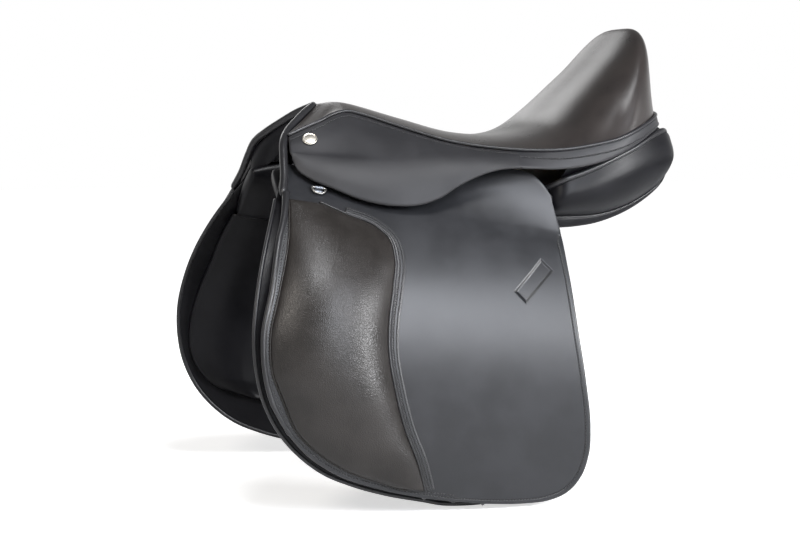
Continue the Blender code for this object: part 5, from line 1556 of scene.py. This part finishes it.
    def build_band(self, shop: Workshop, side: Side) -> None:
        """Flat band behind the knee pad, with two rows of thread."""
        body = side.of("flap")
        edge = cubic_path(self.pad_rear[2:], 240)
        edge = edge[edge[:, 0] < 0.006]
        shifts = np.linspace(self.band_margins[0], self.band_width - self.band_margins[1], 9)
        lines = np.stack([FORM.shifted(edge, shift) for shift in shifts])
        arch = self.band_arch * (1.0 - np.linspace(-1.0, 1.0, 9)[:, None] ** 2)
        grid = FORM.points(lines[..., 1], lines[..., 0], -CLEARANCE - self.band - arch)
        run = np.broadcast_to(shifts[:, None] - shifts[0], grid.shape[:2])
        shop.cut("knee_band", grid, self.band, BAND_LEATHER, side, body, ("pad_band",), 5,
                 np.minimum(run, run[-1] - run))
        for number, shift in enumerate(self.band_threads):
            line, normals = FORM.on(FORM.shifted(edge, shift), CLEARANCE + self.band + 0.0003)
            shop.sew(f"band_thread_{number}", line, normals, side, body, *self.band_stitch)

    def build_sweat_flap(self, shop: Workshop, side: Side) -> None:
        """Sweat flap under the girth straps, bound all round."""
        share = np.sin(np.linspace(0.0, 1.0, 61) * math.pi / 2.0) ** 0.95
        levels = self.sweat_levels[0] + np.diff(self.sweat_levels) * share
        front = edge_at(levels, self.sweat_front) + self.sweat_margin
        rear = edge_at(levels, self.sweat_rear) - self.sweat_margin
        x = columns_between(front, rear, np.linspace(0.0, 1.0, 41))
        shop.cut("sweat_cut", FORM.points(x, levels[:, None], SWEAT_DEPTH), THICK["sweat"], PANEL_LEATHER, side,
                 nodes=("sweat_flap",))
        outline = cubic_path(self.sweat_front[1:] + self.sweat_foot + self.sweat_rear[::-1], 420)
        line = FORM.points(outline[:, 1], outline[:, 0], SWEAT_DEPTH + THICK["sweat"] / 2.0)
        shop.pipe("sweat_binding", line, self.sweat_binding, FORM.on(outline, 0.0)[1], side)


@dataclass
class Head:
    """Binding round the front arch, the lining behind it, and the D rings.

    Clip_front and clip_rear are the rise and the stand of the clip's flat ends.
    """

    arch: tuple = (
        (-0.1876, 0.0, 0.1315), (-0.2019, 0.0155, 0.1236), (-0.2162, 0.028, 0.1133), (-0.2287, 0.040, 0.1033),
        (-0.2385, 0.0575, 0.091), (-0.242, 0.0695, 0.077), (-0.246, 0.0855, 0.056), (-0.251, 0.098, 0.0405))
    lining_front: tuple = (
        (-0.184, 0.0, 0.1045), (-0.192, 0.012, 0.1015), (-0.204, 0.022, 0.0930), (-0.215, 0.032, 0.0820),
        (-0.226, 0.041, 0.0700))
    lining_back: tuple = (
        (-0.120, 0.0, 0.0860), (-0.120, 0.009, 0.0850), (-0.120, 0.018, 0.0820), (-0.120, 0.026, 0.0780),
        (-0.120, 0.031, 0.0745))
    arch_outer: tuple = (
        (-0.200, 0.012, 0.1215), (-0.2145, 0.025, 0.1115), (-0.2265, 0.0375, 0.1015), (-0.2355, 0.0535, 0.0895),
        (-0.2400, 0.0655, 0.0765), (-0.2415, 0.0668, 0.0615))
    arch_inner: tuple = (
        (-0.193, 0.0115, 0.0990), (-0.204, 0.0215, 0.0905), (-0.215, 0.0310, 0.0795), (-0.226, 0.0400, 0.0675),
        (-0.234, 0.0470, 0.0590), (-0.239, 0.0530, 0.0510))
    arch_bulge: tuple = (-0.0025, -0.0030, 0.0)
    hide: float = 0.0014
    lining: float = 0.0015
    ring_x: float = -0.212
    ring_level: float = 0.0275
    ring_stand: float = 0.0030
    ring_wire: float = 0.0013
    ring_half: float = 0.0075
    ring_drop: float = 0.0085
    clip: float = 0.0007
    clip_half: float = 0.004
    clip_gap: float = 0.0010
    clip_front: tuple = ((-0.0068, -0.0045, -0.0028), (-0.0022, -0.0022, -0.0018))
    clip_rear: tuple = ((0.0028, 0.0045, 0.0060), (-0.0018, -0.0022, -0.0022))

    def mirrored(self, half: Points) -> Points:
        """Line from the left end over the middle to the right end."""
        return np.concatenate([sided(half[:0:-1], Side.LEFT), sided(half, Side.RIGHT)])

    def build(self, shop: Workshop) -> None:
        """Binding and lining."""
        path = self.mirrored(cubic_path(self.arch, 90))
        binding = tube("head_roll", path, BINDING_RADIUS, (-1.0, 0.0, 0.3), 20)
        shop.put(binding, BINDING_LEATHER, "saddle", ("head_binding",))
        front, back = (self.mirrored(cubic_path(edge, 24)) for edge in (self.lining_front, self.lining_back))
        made = leather("gullet_hide", between(front, back, 30), self.lining, UP, 4)
        shop.put(made, LINING_LEATHER, "saddle", ("gullet_lining",))

    def build_arch(self, shop: Workshop, side: Side) -> None:
        """Soft hide between the binding and the lining, which stands out by 4 s (1 - s) of its bulge."""
        rows = 13
        share = np.linspace(0.0, 1.0, rows)[:, None, None]
        grid = between(cubic_path(self.arch_outer, 40), cubic_path(self.arch_inner, 40), rows)
        grid = grid + np.array(self.arch_bulge) * 4.0 * share * (1.0 - share)
        made = leather(side.of("arch_hide"), sided(grid, side), self.hide, (-1.0, 0.0, 0.0), 4)
        shop.put(made, PANEL_LEATHER, "saddle")

    def build_ring(self, shop: Workshop, side: Side) -> None:
        """D ring and the clip that holds its straight bar."""
        self.build_arch(shop, side)
        here = FORM.points(self.ring_x, self.ring_level, -self.ring_stand)
        along = unit(FORM.points(self.ring_x + 0.01, self.ring_level, -self.ring_stand) - here)
        down = FORM.points(self.ring_x, self.ring_level - 0.006, -self.ring_stand) - here
        down = unit(down - along * np.dot(down, along))
        out = FORM.normals(np.array([self.ring_x]), np.array([self.ring_level]))[0]
        angle = np.linspace(0.0, math.pi, 40)[:, None]
        bow = here + along * self.ring_half * np.cos(angle) + down * self.ring_drop * np.sin(angle)
        bar = here + along * np.linspace(-self.ring_half, self.ring_half, 16)[1:-1, None]
        made = tube(side.of("ring_wire"), sided(np.concatenate([bow, bar]), side), self.ring_wire,
                    sided(out, side), 14, closed=True)
        # The D ring wears the nickel darkened as painted shade.
        shop.put(made, SHADOWED_NICKEL, side.of("ring"), (side.of("d_ring"),))

        wrap = np.linspace(-0.5 * math.pi, 0.5 * math.pi, 15)
        r = self.ring_wire + self.clip_gap
        rise = np.concatenate([self.clip_front[0], r * np.sin(wrap), self.clip_rear[0]])[:, None, None]
        stand = np.concatenate([self.clip_front[1], r * np.cos(wrap), self.clip_rear[1]])[:, None, None]
        across = np.linspace(-self.clip_half, self.clip_half, 9)[None, :, None]
        grid = here + along * across - down * rise + out * stand
        shop.cut("ring_clip", grid, self.clip, STEEL, side, nodes=("ring_keeper",), rim=4)


@dataclass
class Girthing:
    """Girth straps with their holes, the webs that carry them, and the buckle guards.

    Holes are the lowest level, the highest one and their number.
    """

    width: float = 0.026
    pitch: float = 0.042
    middle_x: float = -0.055
    top_level: float = 0.030
    end_level: float = -0.245
    point: float = 0.014
    guard_levels: tuple = (-0.075, -0.165)
    loop_end: float = -0.105
    margin: float = 0.006
    web: float = 0.0015
    web_levels: tuple = (0.0455, 0.0075)
    inset: float = 0.001
    thread_inset: float = 0.0042
    hole_radius: float = 0.0022
    hole_reach: tuple = (-0.006, 0.004)
    holes: tuple = (-0.215, -0.075, 7)
    stitch: tuple = (0.0036, 0.00032)  # pitch and radius
    strap_trim: float = 0.0012
    guard_corner: float = 0.012
    corner_levels: tuple = (0.153, 0.0125)  # where the corners start, and how tall they are
    loop: float = 0.0010
    loop_drop: float = 0.0002
    rim: float = 0.0022

    def build(self, shop: Workshop, side: Side) -> None:
        """Straps, web and guard of one side."""
        for number, place in enumerate(("front", "middle", "rear")):
            self.build_strap(shop, side, place, self.middle_x + (number - 1) * self.pitch)
        reach = self.pitch + self.width / 2.0
        levels = np.linspace(*self.web_levels, 25)
        x = self.middle_x + np.linspace(self.inset - reach, reach - self.inset, 61)[None, :]
        grid = sided(FORM.points(x, levels[:, None], STRAP_DEPTH + THICK["strap"] + SLIDE), side)
        shop.weave(side.of("girth_webbing"), grid, self.web, (0, 0.3, 1), sided(SIDEWAYS, side),
                   side.of("girth_web"))
        self.build_guard(shop, side, reach)

    def build_strap(self, shop: Workshop, side: Side, place: str, x: float) -> None:
        """One strap with a pointed end, a row of punched holes and two rows of thread."""
        name, body = side.of("strap_cut_" + place), side.of("strap_" + place)
        straight, pointed = 66, 10
        turn = np.linspace(0.1, 1.0, pointed) * math.pi / 2.0
        levels = np.concatenate([np.linspace(self.top_level, self.end_level + self.point, straight),
                                 self.end_level + self.point * (1.0 - np.sin(turn))])
        half = np.full(len(levels), self.width / 2.0 - self.strap_trim)
        half[straight:] *= np.cos(turn * 0.86)
        across = np.linspace(-1.0, 1.0, 13)[None, :]
        grid = FORM.points(x + half[:, None] * across, levels[:, None], STRAP_DEPTH)
        edges = np.broadcast_to(half[:, None] * (1.0 - np.abs(across)), grid.shape[:2])
        made = leather(name, sided(grid, side), THICK["strap"], sided(SIDEWAYS, side), 4, edges)
        holes = np.linspace(*self.holes)
        centres = sided(FORM.points(x, holes, STRAP_DEPTH), side)
        normals = sided(FORM.normals(np.full(len(holes), x), holes), side)
        profile = [(self.hole_radius, height) for height in self.hole_reach]
        punch(made, [turned("hole", profile, c, n, 14) for c, n in zip(centres, normals)])
        shop.put(made, STRAP_LEATHER, body, (side.of("girth_strap_" + place),))
        sewn = levels[2:straight - 2]
        for end in (-1, 1):
            beside = np.full(len(sewn), x + end * (self.width / 2.0 - self.thread_inset))
            shop.sew(f"strap_thread_{place}_{end + 1}", FORM.points(beside, sewn, STRAP_DEPTH),
                     FORM.normals(beside, sewn), side, body, *self.stitch)

    def build_guard(self, shop: Workshop, side: Side, reach: float) -> None:
        """Buckle guard: a flat leather over the straps, and a loop that goes round behind them."""
        start, end = self.middle_x - reach - self.margin, self.middle_x + reach + self.margin
        top, low = self.guard_levels[0] - self.inset, self.guard_levels[1] + self.inset
        levels = np.linspace(top, low, 36)
        down = np.clip((-levels - self.corner_levels[0]) / self.corner_levels[1], 0.0, 1.0)
        trim = self.guard_corner * (1.0 - np.sqrt(1.0 - down**2 * 0.98))
        front, rear = start + self.inset + trim, end - self.inset - trim
        x = columns_between(front, rear, np.linspace(0.0, 1.0, 41))
        edges = np.minimum(np.minimum(x - front[:, None], rear[:, None] - x),
                           np.minimum(levels[0] - levels, levels - levels[-1])[:, None])
        shop.cut("guard_cut", FORM.points(x, levels[:, None], GUARD_DEPTH), THICK["guard"] - CLEARANCE,
                 STRAP_LEATHER, side, side.of("guard"), ("buckle_guard",), 4, edges)

        turns, across = 9, 29
        turn = np.linspace(0.0, 1.0, turns)
        near, deep = GUARD_DEPTH + THICK["guard"], LOOP_DEPTH + self.loop_drop
        edge = start + self.rim
        other = 2 * self.middle_x - edge
        xs = np.concatenate([np.full(turns, edge), np.linspace(edge, other, across + 2)[1:-1],
                             np.full(turns, other)])
        depth = np.concatenate([near + (deep - near) * turn, np.full(across, deep), deep + (near - deep) * turn])
        grid = FORM.points(xs[None, :], np.linspace(top, self.loop_end, 12)[:, None], depth[None, :])
        shop.cut("guard_loop", grid, self.loop, STRAP_LEATHER, side, side.of("guard"), rim=3)


def punch(made: bpy.types.Object, cutters: list) -> None:
    """Cuts a row of holes and removes the cutters.

    Args:
        made: The leather to cut.
        cutters: Bodies to cut with.
    """
    for cutter in cutters:
        modifier = made.modifiers.new("hole", "BOOLEAN")
        modifier.object = cutter
        modifier.operation = "DIFFERENCE"
        modifier.solver = "EXACT"
    mesh = evaluated_mesh(made)
    made.modifiers.clear()
    made.data = mesh
    for cutter in cutters:
        bpy.data.objects.remove(cutter)


@dataclass
class Panels:
    """Flocked bearing panels, lower front panels, rear gussets and the facings above them.

    A rear station is x, the top and the foot of the gusset's wall as (half width, z), how far the
    belly sags below the foot, and the heights of the gullet's lower and upper edge. The front seam
    is (depth, place, spread) of a bell across the panel. Gusset_thick is the stretch of x where the
    gusset has its full thickness, and its thickness outside of that.
    """

    skirts: Skirts
    front_stations: tuple = (-0.246, -0.225, -0.190, -0.150, -0.100, -0.050, 0.000, 0.015, 0.030)
    rear_stations: tuple = (
        (0.058, (0.126, 0.049), (0.109, 0.010), 0.013, 0.040, 0.066),
        (0.085, (0.127, 0.058), (0.106, 0.010), 0.012, 0.043, 0.072),
        (0.116, (0.124, 0.070), (0.101, 0.012), 0.010, 0.047, 0.080),
        (0.150, (0.116, 0.084), (0.094, 0.020), 0.008, 0.054, 0.090),
        (0.180, (0.103, 0.098), (0.087, 0.033), 0.007, 0.062, 0.100),
        (0.203, (0.088, 0.103), (0.081, 0.048), 0.006, 0.070, 0.103),
        (0.216, (0.076, 0.095), (0.072, 0.062), 0.004, 0.078, 0.094))
    gullet: float = 0.032
    gullet_front: float = 0.042
    thickness: float = 0.026
    gusset: float = 0.010
    gusset_bulge: float = 0.0138
    gusset_tall: float = 0.042
    gusset_thick: tuple = (0.05, 0.217, 0.003)
    gusset_columns: int = 70
    roll_columns: int = 57
    roll: tuple = (0.0032, (0.0, 0.0012, 0.0014))  # radius and lift
    piping: tuple = (0.0010, (0.0, -0.0002, -0.0010))
    sunk_end: tuple = (0.002, 0.005, 0.001)
    gusset_front: tuple = (0.044, (0.112, 0.0395), (0.098, 0.006))
    gusset_rear: tuple = (0.2180, (0.0645, 0.089), (0.0635, 0.068))
    front_thickness: float = 0.018
    front_profile: tuple = (0.3, 0.95, 1.0, 0.66, 0.82, 0.9, 0.8, 0.3)
    front_seam: tuple = (0.10, 0.43, 0.012)
    front_taper: tuple = ((-0.236, -0.215, -0.030, -0.013), (0.35, 0.8, 1.0, 0.9))
    front_levels: tuple = (-0.0145, -0.2355)
    facing: float = 0.0018
    facing_from: tuple = (0.056, 0.086)
    facing_top: tuple = (-0.0006, -0.0078, -0.0014)
    facing_low: tuple = (-0.001, -0.0035, 0.0012)
    front_front: tuple = (
        (-0.010, -0.250), (-0.040, -0.260), (-0.075, -0.269), (-0.113, -0.281), (-0.150, -0.289),
        (-0.180, -0.289), (-0.203, -0.280), (-0.220, -0.264), (-0.231, -0.235), (-0.236, -0.200))
    front_rear: tuple = (
        (-0.010, -0.020), (-0.100, -0.050), (-0.165, -0.075), (-0.205, -0.105), (-0.228, -0.140),
        (-0.236, -0.165))

    def wall(self, x: float, upper: tuple, lower: tuple, depth: float, count: int = 5) -> Points:
        """Bulging wall: half width = chord + 4 bulge s (1 - s) (0.6 + 0.8 s) - depth.

        Args:
            x: Where along the saddle.
            upper: Half width and height of its top.
            lower: The same for its foot.
            depth: Distance inwards from the outer face.
            count: Points from top to foot.

        Returns:
            The points.
        """
        share = np.linspace(0.0, 1.0, count)
        bulge = self.gusset_bulge * min((upper[1] - lower[1]) / self.gusset_tall, 1.0)
        swell = 4.0 * bulge * share * (1.0 - share) * (0.6 + 0.8 * share)
        half = upper[0] + (lower[0] - upper[0]) * share + swell
        z = upper[1] + (lower[1] - upper[1]) * share
        return np.stack([np.full(count, x), half - depth, z], axis=1)

    def rings(self) -> Points:
        """Cross-sections of the bearing panel, ten points each, front to rear."""
        rings = []
        for x in self.front_stations:
            bottom = np.interp(x, [-0.100, 0.0, 0.030], [-0.0135, 0.010, 0.0245])
            upper = np.interp(x, [-0.060, 0.0, 0.030], [0.034, 0.044, 0.066])
            share = np.interp(x, [-0.100, 0.0], [0.0, 1.0])
            levels = np.array([upper, FORM.fold_level, 0.007, -0.004, bottom])
            levels += (np.linspace(upper, bottom, 5) - levels) * share
            outer = FORM.points(x, levels, PANEL_DEPTH + 0.0006)
            thick = self.thickness * np.interp(x, [-0.246, -0.225], [0.55, 1.0])
            sag = np.interp(x, [-0.100, 0.0, 0.030], [0.0, 0.006, 0.010])
            drop = np.array([[0.0, 0.06, 0.1], [0.0, 0.35, 1.0], [0.0, 1.0, 1.0]])
            belly = outer[-1] - drop * (1.0, thick, sag)
            gullet = np.interp(x, [-0.246, -0.150], [self.gullet_front, self.gullet])
            edge_z = np.interp(x, [-0.246, -0.150, 0.030], [0.048, 0.034, 0.034])
            top_z = np.interp(x, [-0.246, -0.200, 0.030], [0.062, 0.070, 0.064])
            rings.append(np.concatenate([[(x, gullet, top_z)], outer, belly, [(x, gullet, edge_z)]]))
        for x, upper, lower, sag, edge_z, top_z in self.rear_stations:
            wall = self.wall(x, upper, lower, self.gusset + 6 * CLEARANCE)
            wall[-1, 2] -= 4 * CLEARANCE
            low = lower[1] - sag
            belly = [(x, lower[0] - 0.001, lower[1] - 4 * CLEARANCE), (x, lower[0] - 0.007, low),
                     (x, (lower[0] + self.gullet) / 2.0, (low + edge_z) / 2.0 - 0.006)]
            rings.append(np.concatenate([[(x, self.gullet, top_z)], wall, belly, [(x, self.gullet, edge_z)]]))
        return np.array(rings)

    def rounded(self, rings: Points, around: int, stations: int, nose: float) -> Points:
        """Cross-sections drawn smooth both ways, with domed ends.

        Args:
            rings: Coarse cross-sections.
            around: Points round each fine section.
            stations: Fine sections along the panel.
            nose: How far the end domes stand out.

        Returns:
            The fine sections.
        """
        looped = np.concatenate([rings[:, -3:], rings, rings[:, :4]], axis=1)
        at = np.arange(looped.shape[1], dtype=float)
        where = 3.0 + np.linspace(0.0, rings.shape[1], around, endpoint=False)
        smooth = hermite(at, looped.transpose(1, 0, 2), where).transpose(1, 0, 2)
        smooth = by_row(smooth, stations)
        angle = np.radians([85.0, 62.0, 38.0, 18.0])[:, None, None]
        ends = []
        for ring, sign in ((smooth[0], -1.0), (smooth[-1], 1.0)):
            centre = ring.mean(axis=0)
            cap = centre + (ring - centre)[None] * np.cos(angle)
            cap[..., 0] += sign * nose * np.sin(angle[..., 0])
            ends.append(cap)
        return np.concatenate([ends[0], smooth, ends[1][::-1]])

    def build(self, shop: Workshop, side: Side) -> None:
        """All panel pieces of one side."""
        rings = self.rounded(self.rings(), 72, 110, 0.004)
        made = ringed(side.of("bearing_panel"), sided(rings, side))
        shop.put(made, PANEL_LEATHER, "saddle", (side.of("panel"),), fill=0.85)
        self.build_gusset(shop, side)
        self.build_facing(shop, side)
        self.build_front(shop, side)

    def build_gusset(self, shop: Workshop, side: Side) -> None:
        """Rear gusset with a roll along its top and piping along its foot."""
        stations = [self.gusset_front, *(s[:3] for s in self.rear_stations), self.gusset_rear]
        first, last, thin = self.gusset_thick
        depths = [self.gusset if first < s[0] < last else thin for s in stations]
        columns = self.gusset_columns
        outer = refined(np.array([self.wall(*s, 0.0, 9) for s in stations]), columns, 33)
        inner = refined(np.array([self.wall(*s, depth, 9) for s, depth in zip(stations, depths)]), columns, 33)
        made = slab(side.of("gusset_pad"), sided(outer, side), sided(inner, side))
        shop.put(made, PANEL_LEATHER, "saddle", (side.of("rear_gusset"),), fill=0.9)
        ends = blended(np.linspace(1.0, 0.0, len(outer)), 0.15, 0.32)[:, None]
        for name, line, (radius, lift), kept in (("gusset_roll", outer[:, 0], self.roll, self.roll_columns),
                                                 ("gusset_piping", outer[:, -1], self.piping, columns)):
            line = line + np.array(lift) - np.array(self.sunk_end) * (1.0 - ends)
            shop.pipe(name, line[:kept], radius * (0.4 + 0.6 * ends[:kept, 0]), (0.0, 1.0, 0.5), side, sides=14)

    def build_facing(self, shop: Workshop, side: Side) -> None:
        """Facing between the cantle strip and the gusset."""
        edge = cubic_path(self.skirts.strip_lower, 60)
        kept = edge[(edge[:, 0] > self.facing_from[0]) & (edge[:, 1] > self.facing_from[1])]
        top = cubic_path(kept[::4], 60) + self.facing_top
        low = cubic_path([(s[0], *s[1]) for s in self.rear_stations[:-1]], 60) + self.facing_low
        shop.cut("facing_cut", between(top, low, 9), self.facing, PANEL_LEATHER, side, nodes=("rear_facing",),
                 rim=4)

    def build_front(self, shop: Workshop, side: Side) -> None:
        """Lower front panel: a roll along its front edge, a seam, and a flat flocked field."""
        levels = np.linspace(*self.front_levels, 64)
        front, rear = edge_at(levels, self.front_front), edge_at(levels, self.front_rear)
        across = np.linspace(0.0, 1.0, 61)
        x = columns_between(front, rear, across)
        outer = FORM.points(x, levels[:, None], PANEL_DEPTH + CLEARANCE)
        deep, place, spread = self.front_seam
        profile = by_row(self.front_profile, 61)[:, 0] - deep * np.exp(-(((across - place) / spread) ** 2))
        depth = self.front_thickness * np.interp(levels, *self.front_taper)[:, None] * profile[None, :]
        inner = outer.copy()
        inner[..., 1] -= depth * np.sqrt(1.0 + FORM.slope(levels)[:, None] ** 2)
        made = slab(side.of("front_pad"), sided(outer, side), sided(inner, side))
        shop.put(made, PANEL_LEATHER, "saddle", (side.of("front_panel"),), fill=0.8)


def aimed(name: str, data: bpy.types.ID, aim: tuple, angles: tuple, distance: float) -> bpy.types.Object:
    """Camera or lamp that looks at a point.

    Args:
        name: Name of the object.
        data: The camera's or lamp's data.
        aim: The point.
        angles: Azimuth, 0 towards -Y and 90 towards +X, and elevation, in degrees.
        distance: Distance from the point.

    Returns:
        The object.
    """
    turn, rise = (math.radians(angle) for angle in angles)
    back = Vector((math.sin(turn) * math.cos(rise), -math.cos(turn) * math.cos(rise), math.sin(rise)))
    made = linked(name, data)
    made.location = Vector(aim) + back * distance
    made.rotation_euler = (-back).to_track_quat("-Z", "Y").to_euler()
    return made


@dataclass(frozen=True)
class Lamp:
    """A softbox: where it stands as seen from its aim, its size, and how bright its face is."""

    name: str
    azimuth: float
    elevation: float
    distance: float
    size: tuple
    radiance: float
    colour: tuple
    aim: tuple = (-0.05, -0.12, -0.05)


@dataclass
class Studio:
    """Floor, softboxes, a white backdrop under a dim ceiling, and the photograph's viewpoint."""

    azimuth: float = -20.0
    elevation: float = 4.5
    distance: float = 2.0945
    aim: tuple = (-0.085, 0.0, -0.050)
    lens: float = 83.25
    sensor: float = 36.0
    clip_start: float = 0.01
    floor_z: float = -0.2905
    floor_reach: float = 9.0
    floor_grey: float = 0.86
    glow: tuple = (0.5, 1.8, 0.62, 1.0)
    ambient: float = 0.12
    ceiling: float = 0.22
    horizon: tuple = (0.12, 0.55)
    lamps: tuple = (
        Lamp("side_softbox", 17.0, 28.0, 2.0, (0.85, 1.05), 14.0, (0.90, 0.93, 1.0)),
        Lamp("low_softbox", 4.0, 9.0, 2.0, (0.50, 0.40), 3.0, (0.93, 0.96, 1.0)),
        Lamp("high_softbox", -12.0, 60.0, 2.0, (0.60, 0.50), 32.0, (0.97, 0.98, 1.0)),
        Lamp("front_softbox", -56.0, 34.0, 2.1, (0.35, 0.75), 18.0, (1.0, 0.94, 0.87)),
        Lamp("rear_softbox", 50.0, 15.0, 2.1, (0.40, 0.40), 80.0, (0.97, 0.98, 1.0)),
        Lamp("back_softbox", -177.0, 25.0, 2.2, (1.2, 0.7), 2.2, (1.0, 1.0, 1.0)))

    def build(self) -> None:
        """Everything round the saddle."""
        self.build_world()
        self.build_floor()
        self.build_camera()
        for lamp in self.lamps:
            self.build_lamp(lamp)

    def build_world(self) -> None:
        """White to the camera; in reflections, a white backdrop that fades to the ceiling above the horizon."""
        world = bpy.data.worlds.new("surroundings")
        bpy.context.scene.world = world
        world.use_nodes = True
        sheet = Sheet(world.node_tree)
        ray = sheet.node("ShaderNodeLightPath").outputs
        seen = sheet.math("MAXIMUM", ray["Is Camera Ray"], ray["Is Transmission Ray"])
        rise = sheet.node("ShaderNodeSeparateXYZ", {0: sheet.node("ShaderNodeTexCoord").outputs["Generated"]})
        ceiling = sheet.ramp(rise.outputs["Z"], *self.horizon, 1.0, self.ceiling)
        mirrored = sheet.math("MULTIPLY", ray["Is Glossy Ray"], ceiling)
        strength = sheet.math("MAXIMUM", sheet.math("MAXIMUM", seen, mirrored), self.ambient)
        sheet.feed(world.node_tree.nodes["Background"], {"Color": WHITE, "Strength": strength})

    def build_floor(self) -> None:
        """Pale floor that the camera sees as white, with the saddle's soft shadow on it."""
        mesh = bpy.data.meshes.new("studio_floor")
        corners = [(x * self.floor_reach, y * self.floor_reach, self.floor_z)
                   for x, y in ((-1, -1), (1, -1), (1, 1), (-1, 1))]
        mesh.from_pydata(corners, [], [(0, 1, 2, 3)])
        floor = linked("studio_floor", mesh)
        material = bpy.data.materials.new("studio_paper")
        material.use_nodes = True
        sheet = Sheet(material.node_tree)
        seen = sheet.node("ShaderNodeLightPath").outputs["Is Camera Ray"]
        place = sheet.node("ShaderNodeVectorMath", {0: sheet.node("ShaderNodeTexCoord").outputs["Object"]},
                           operation="LENGTH").outputs["Value"]
        sheet.feed(material.node_tree.nodes["Principled BSDF"], {
            "Base Color": rgba((self.floor_grey,) * 3), "Roughness": 0.95, "Specular IOR Level": 0.0,
            "Emission Color": WHITE,
            "Emission Strength": sheet.math("MULTIPLY", seen, sheet.ramp(place, *self.glow))})
        mesh.materials.append(material)

    def build_camera(self) -> None:
        """Camera where the photograph was taken from."""
        camera = bpy.data.cameras.new("photo_camera")
        camera.sensor_width = self.sensor
        camera.lens = self.lens
        camera.clip_start = self.clip_start
        placed = aimed("photo_camera", camera, self.aim, (self.azimuth, self.elevation), self.distance)
        bpy.context.scene.camera = placed

    def build_lamp(self, lamp: Lamp) -> None:
        """One rectangular softbox, aimed at the saddle; its power is pi times area times radiance."""
        light = bpy.data.lights.new(lamp.name, "AREA")
        light.shape = "RECTANGLE"
        light.size, light.size_y = lamp.size
        light.energy = math.pi * lamp.size[0] * lamp.size[1] * lamp.radiance
        light.color = lamp.colour
        aimed(lamp.name, light, lamp.aim, (lamp.azimuth, lamp.elevation), lamp.distance)


def main() -> None:
    """Builds the saddle's pieces in order, then the studio."""
    logging.basicConfig(level=logging.INFO, format="%(name)s: %(message)s")
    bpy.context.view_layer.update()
    for build_group in (build_grain, build_tone, build_edge, build_weave, build_brushed):
        build_group()
    shop = Workshop(frame)
    seat = Seat()
    skirts, flaps, head = Skirts(seat), Flaps(), Head()
    girthing, panels = Girthing(), Panels(skirts)
    seat.build(shop)
    head.build(shop)
    for side in Side:
        skirts.build(shop, side)
        flaps.build(shop, side)
        head.build_ring(shop, side)
        girthing.build(shop, side)
        panels.build(shop, side)
        for node in ("stirrup_bar", "safety_catch", "catch_pin", "bar_plate", "spring_rail"):
            shop.refinish(side.of(node), STEEL)
    for node in ("head_plate", "cantle_plate"):
        shop.refinish(node, STEEL)
    shop.refinish("tree_frame", BEECH)
    Studio().build()
    scene = bpy.context.scene
    scene.view_settings.view_transform = "Standard"
    LOG.info("%d new pieces", shop.count)


if __name__ == "__main__":
    main()
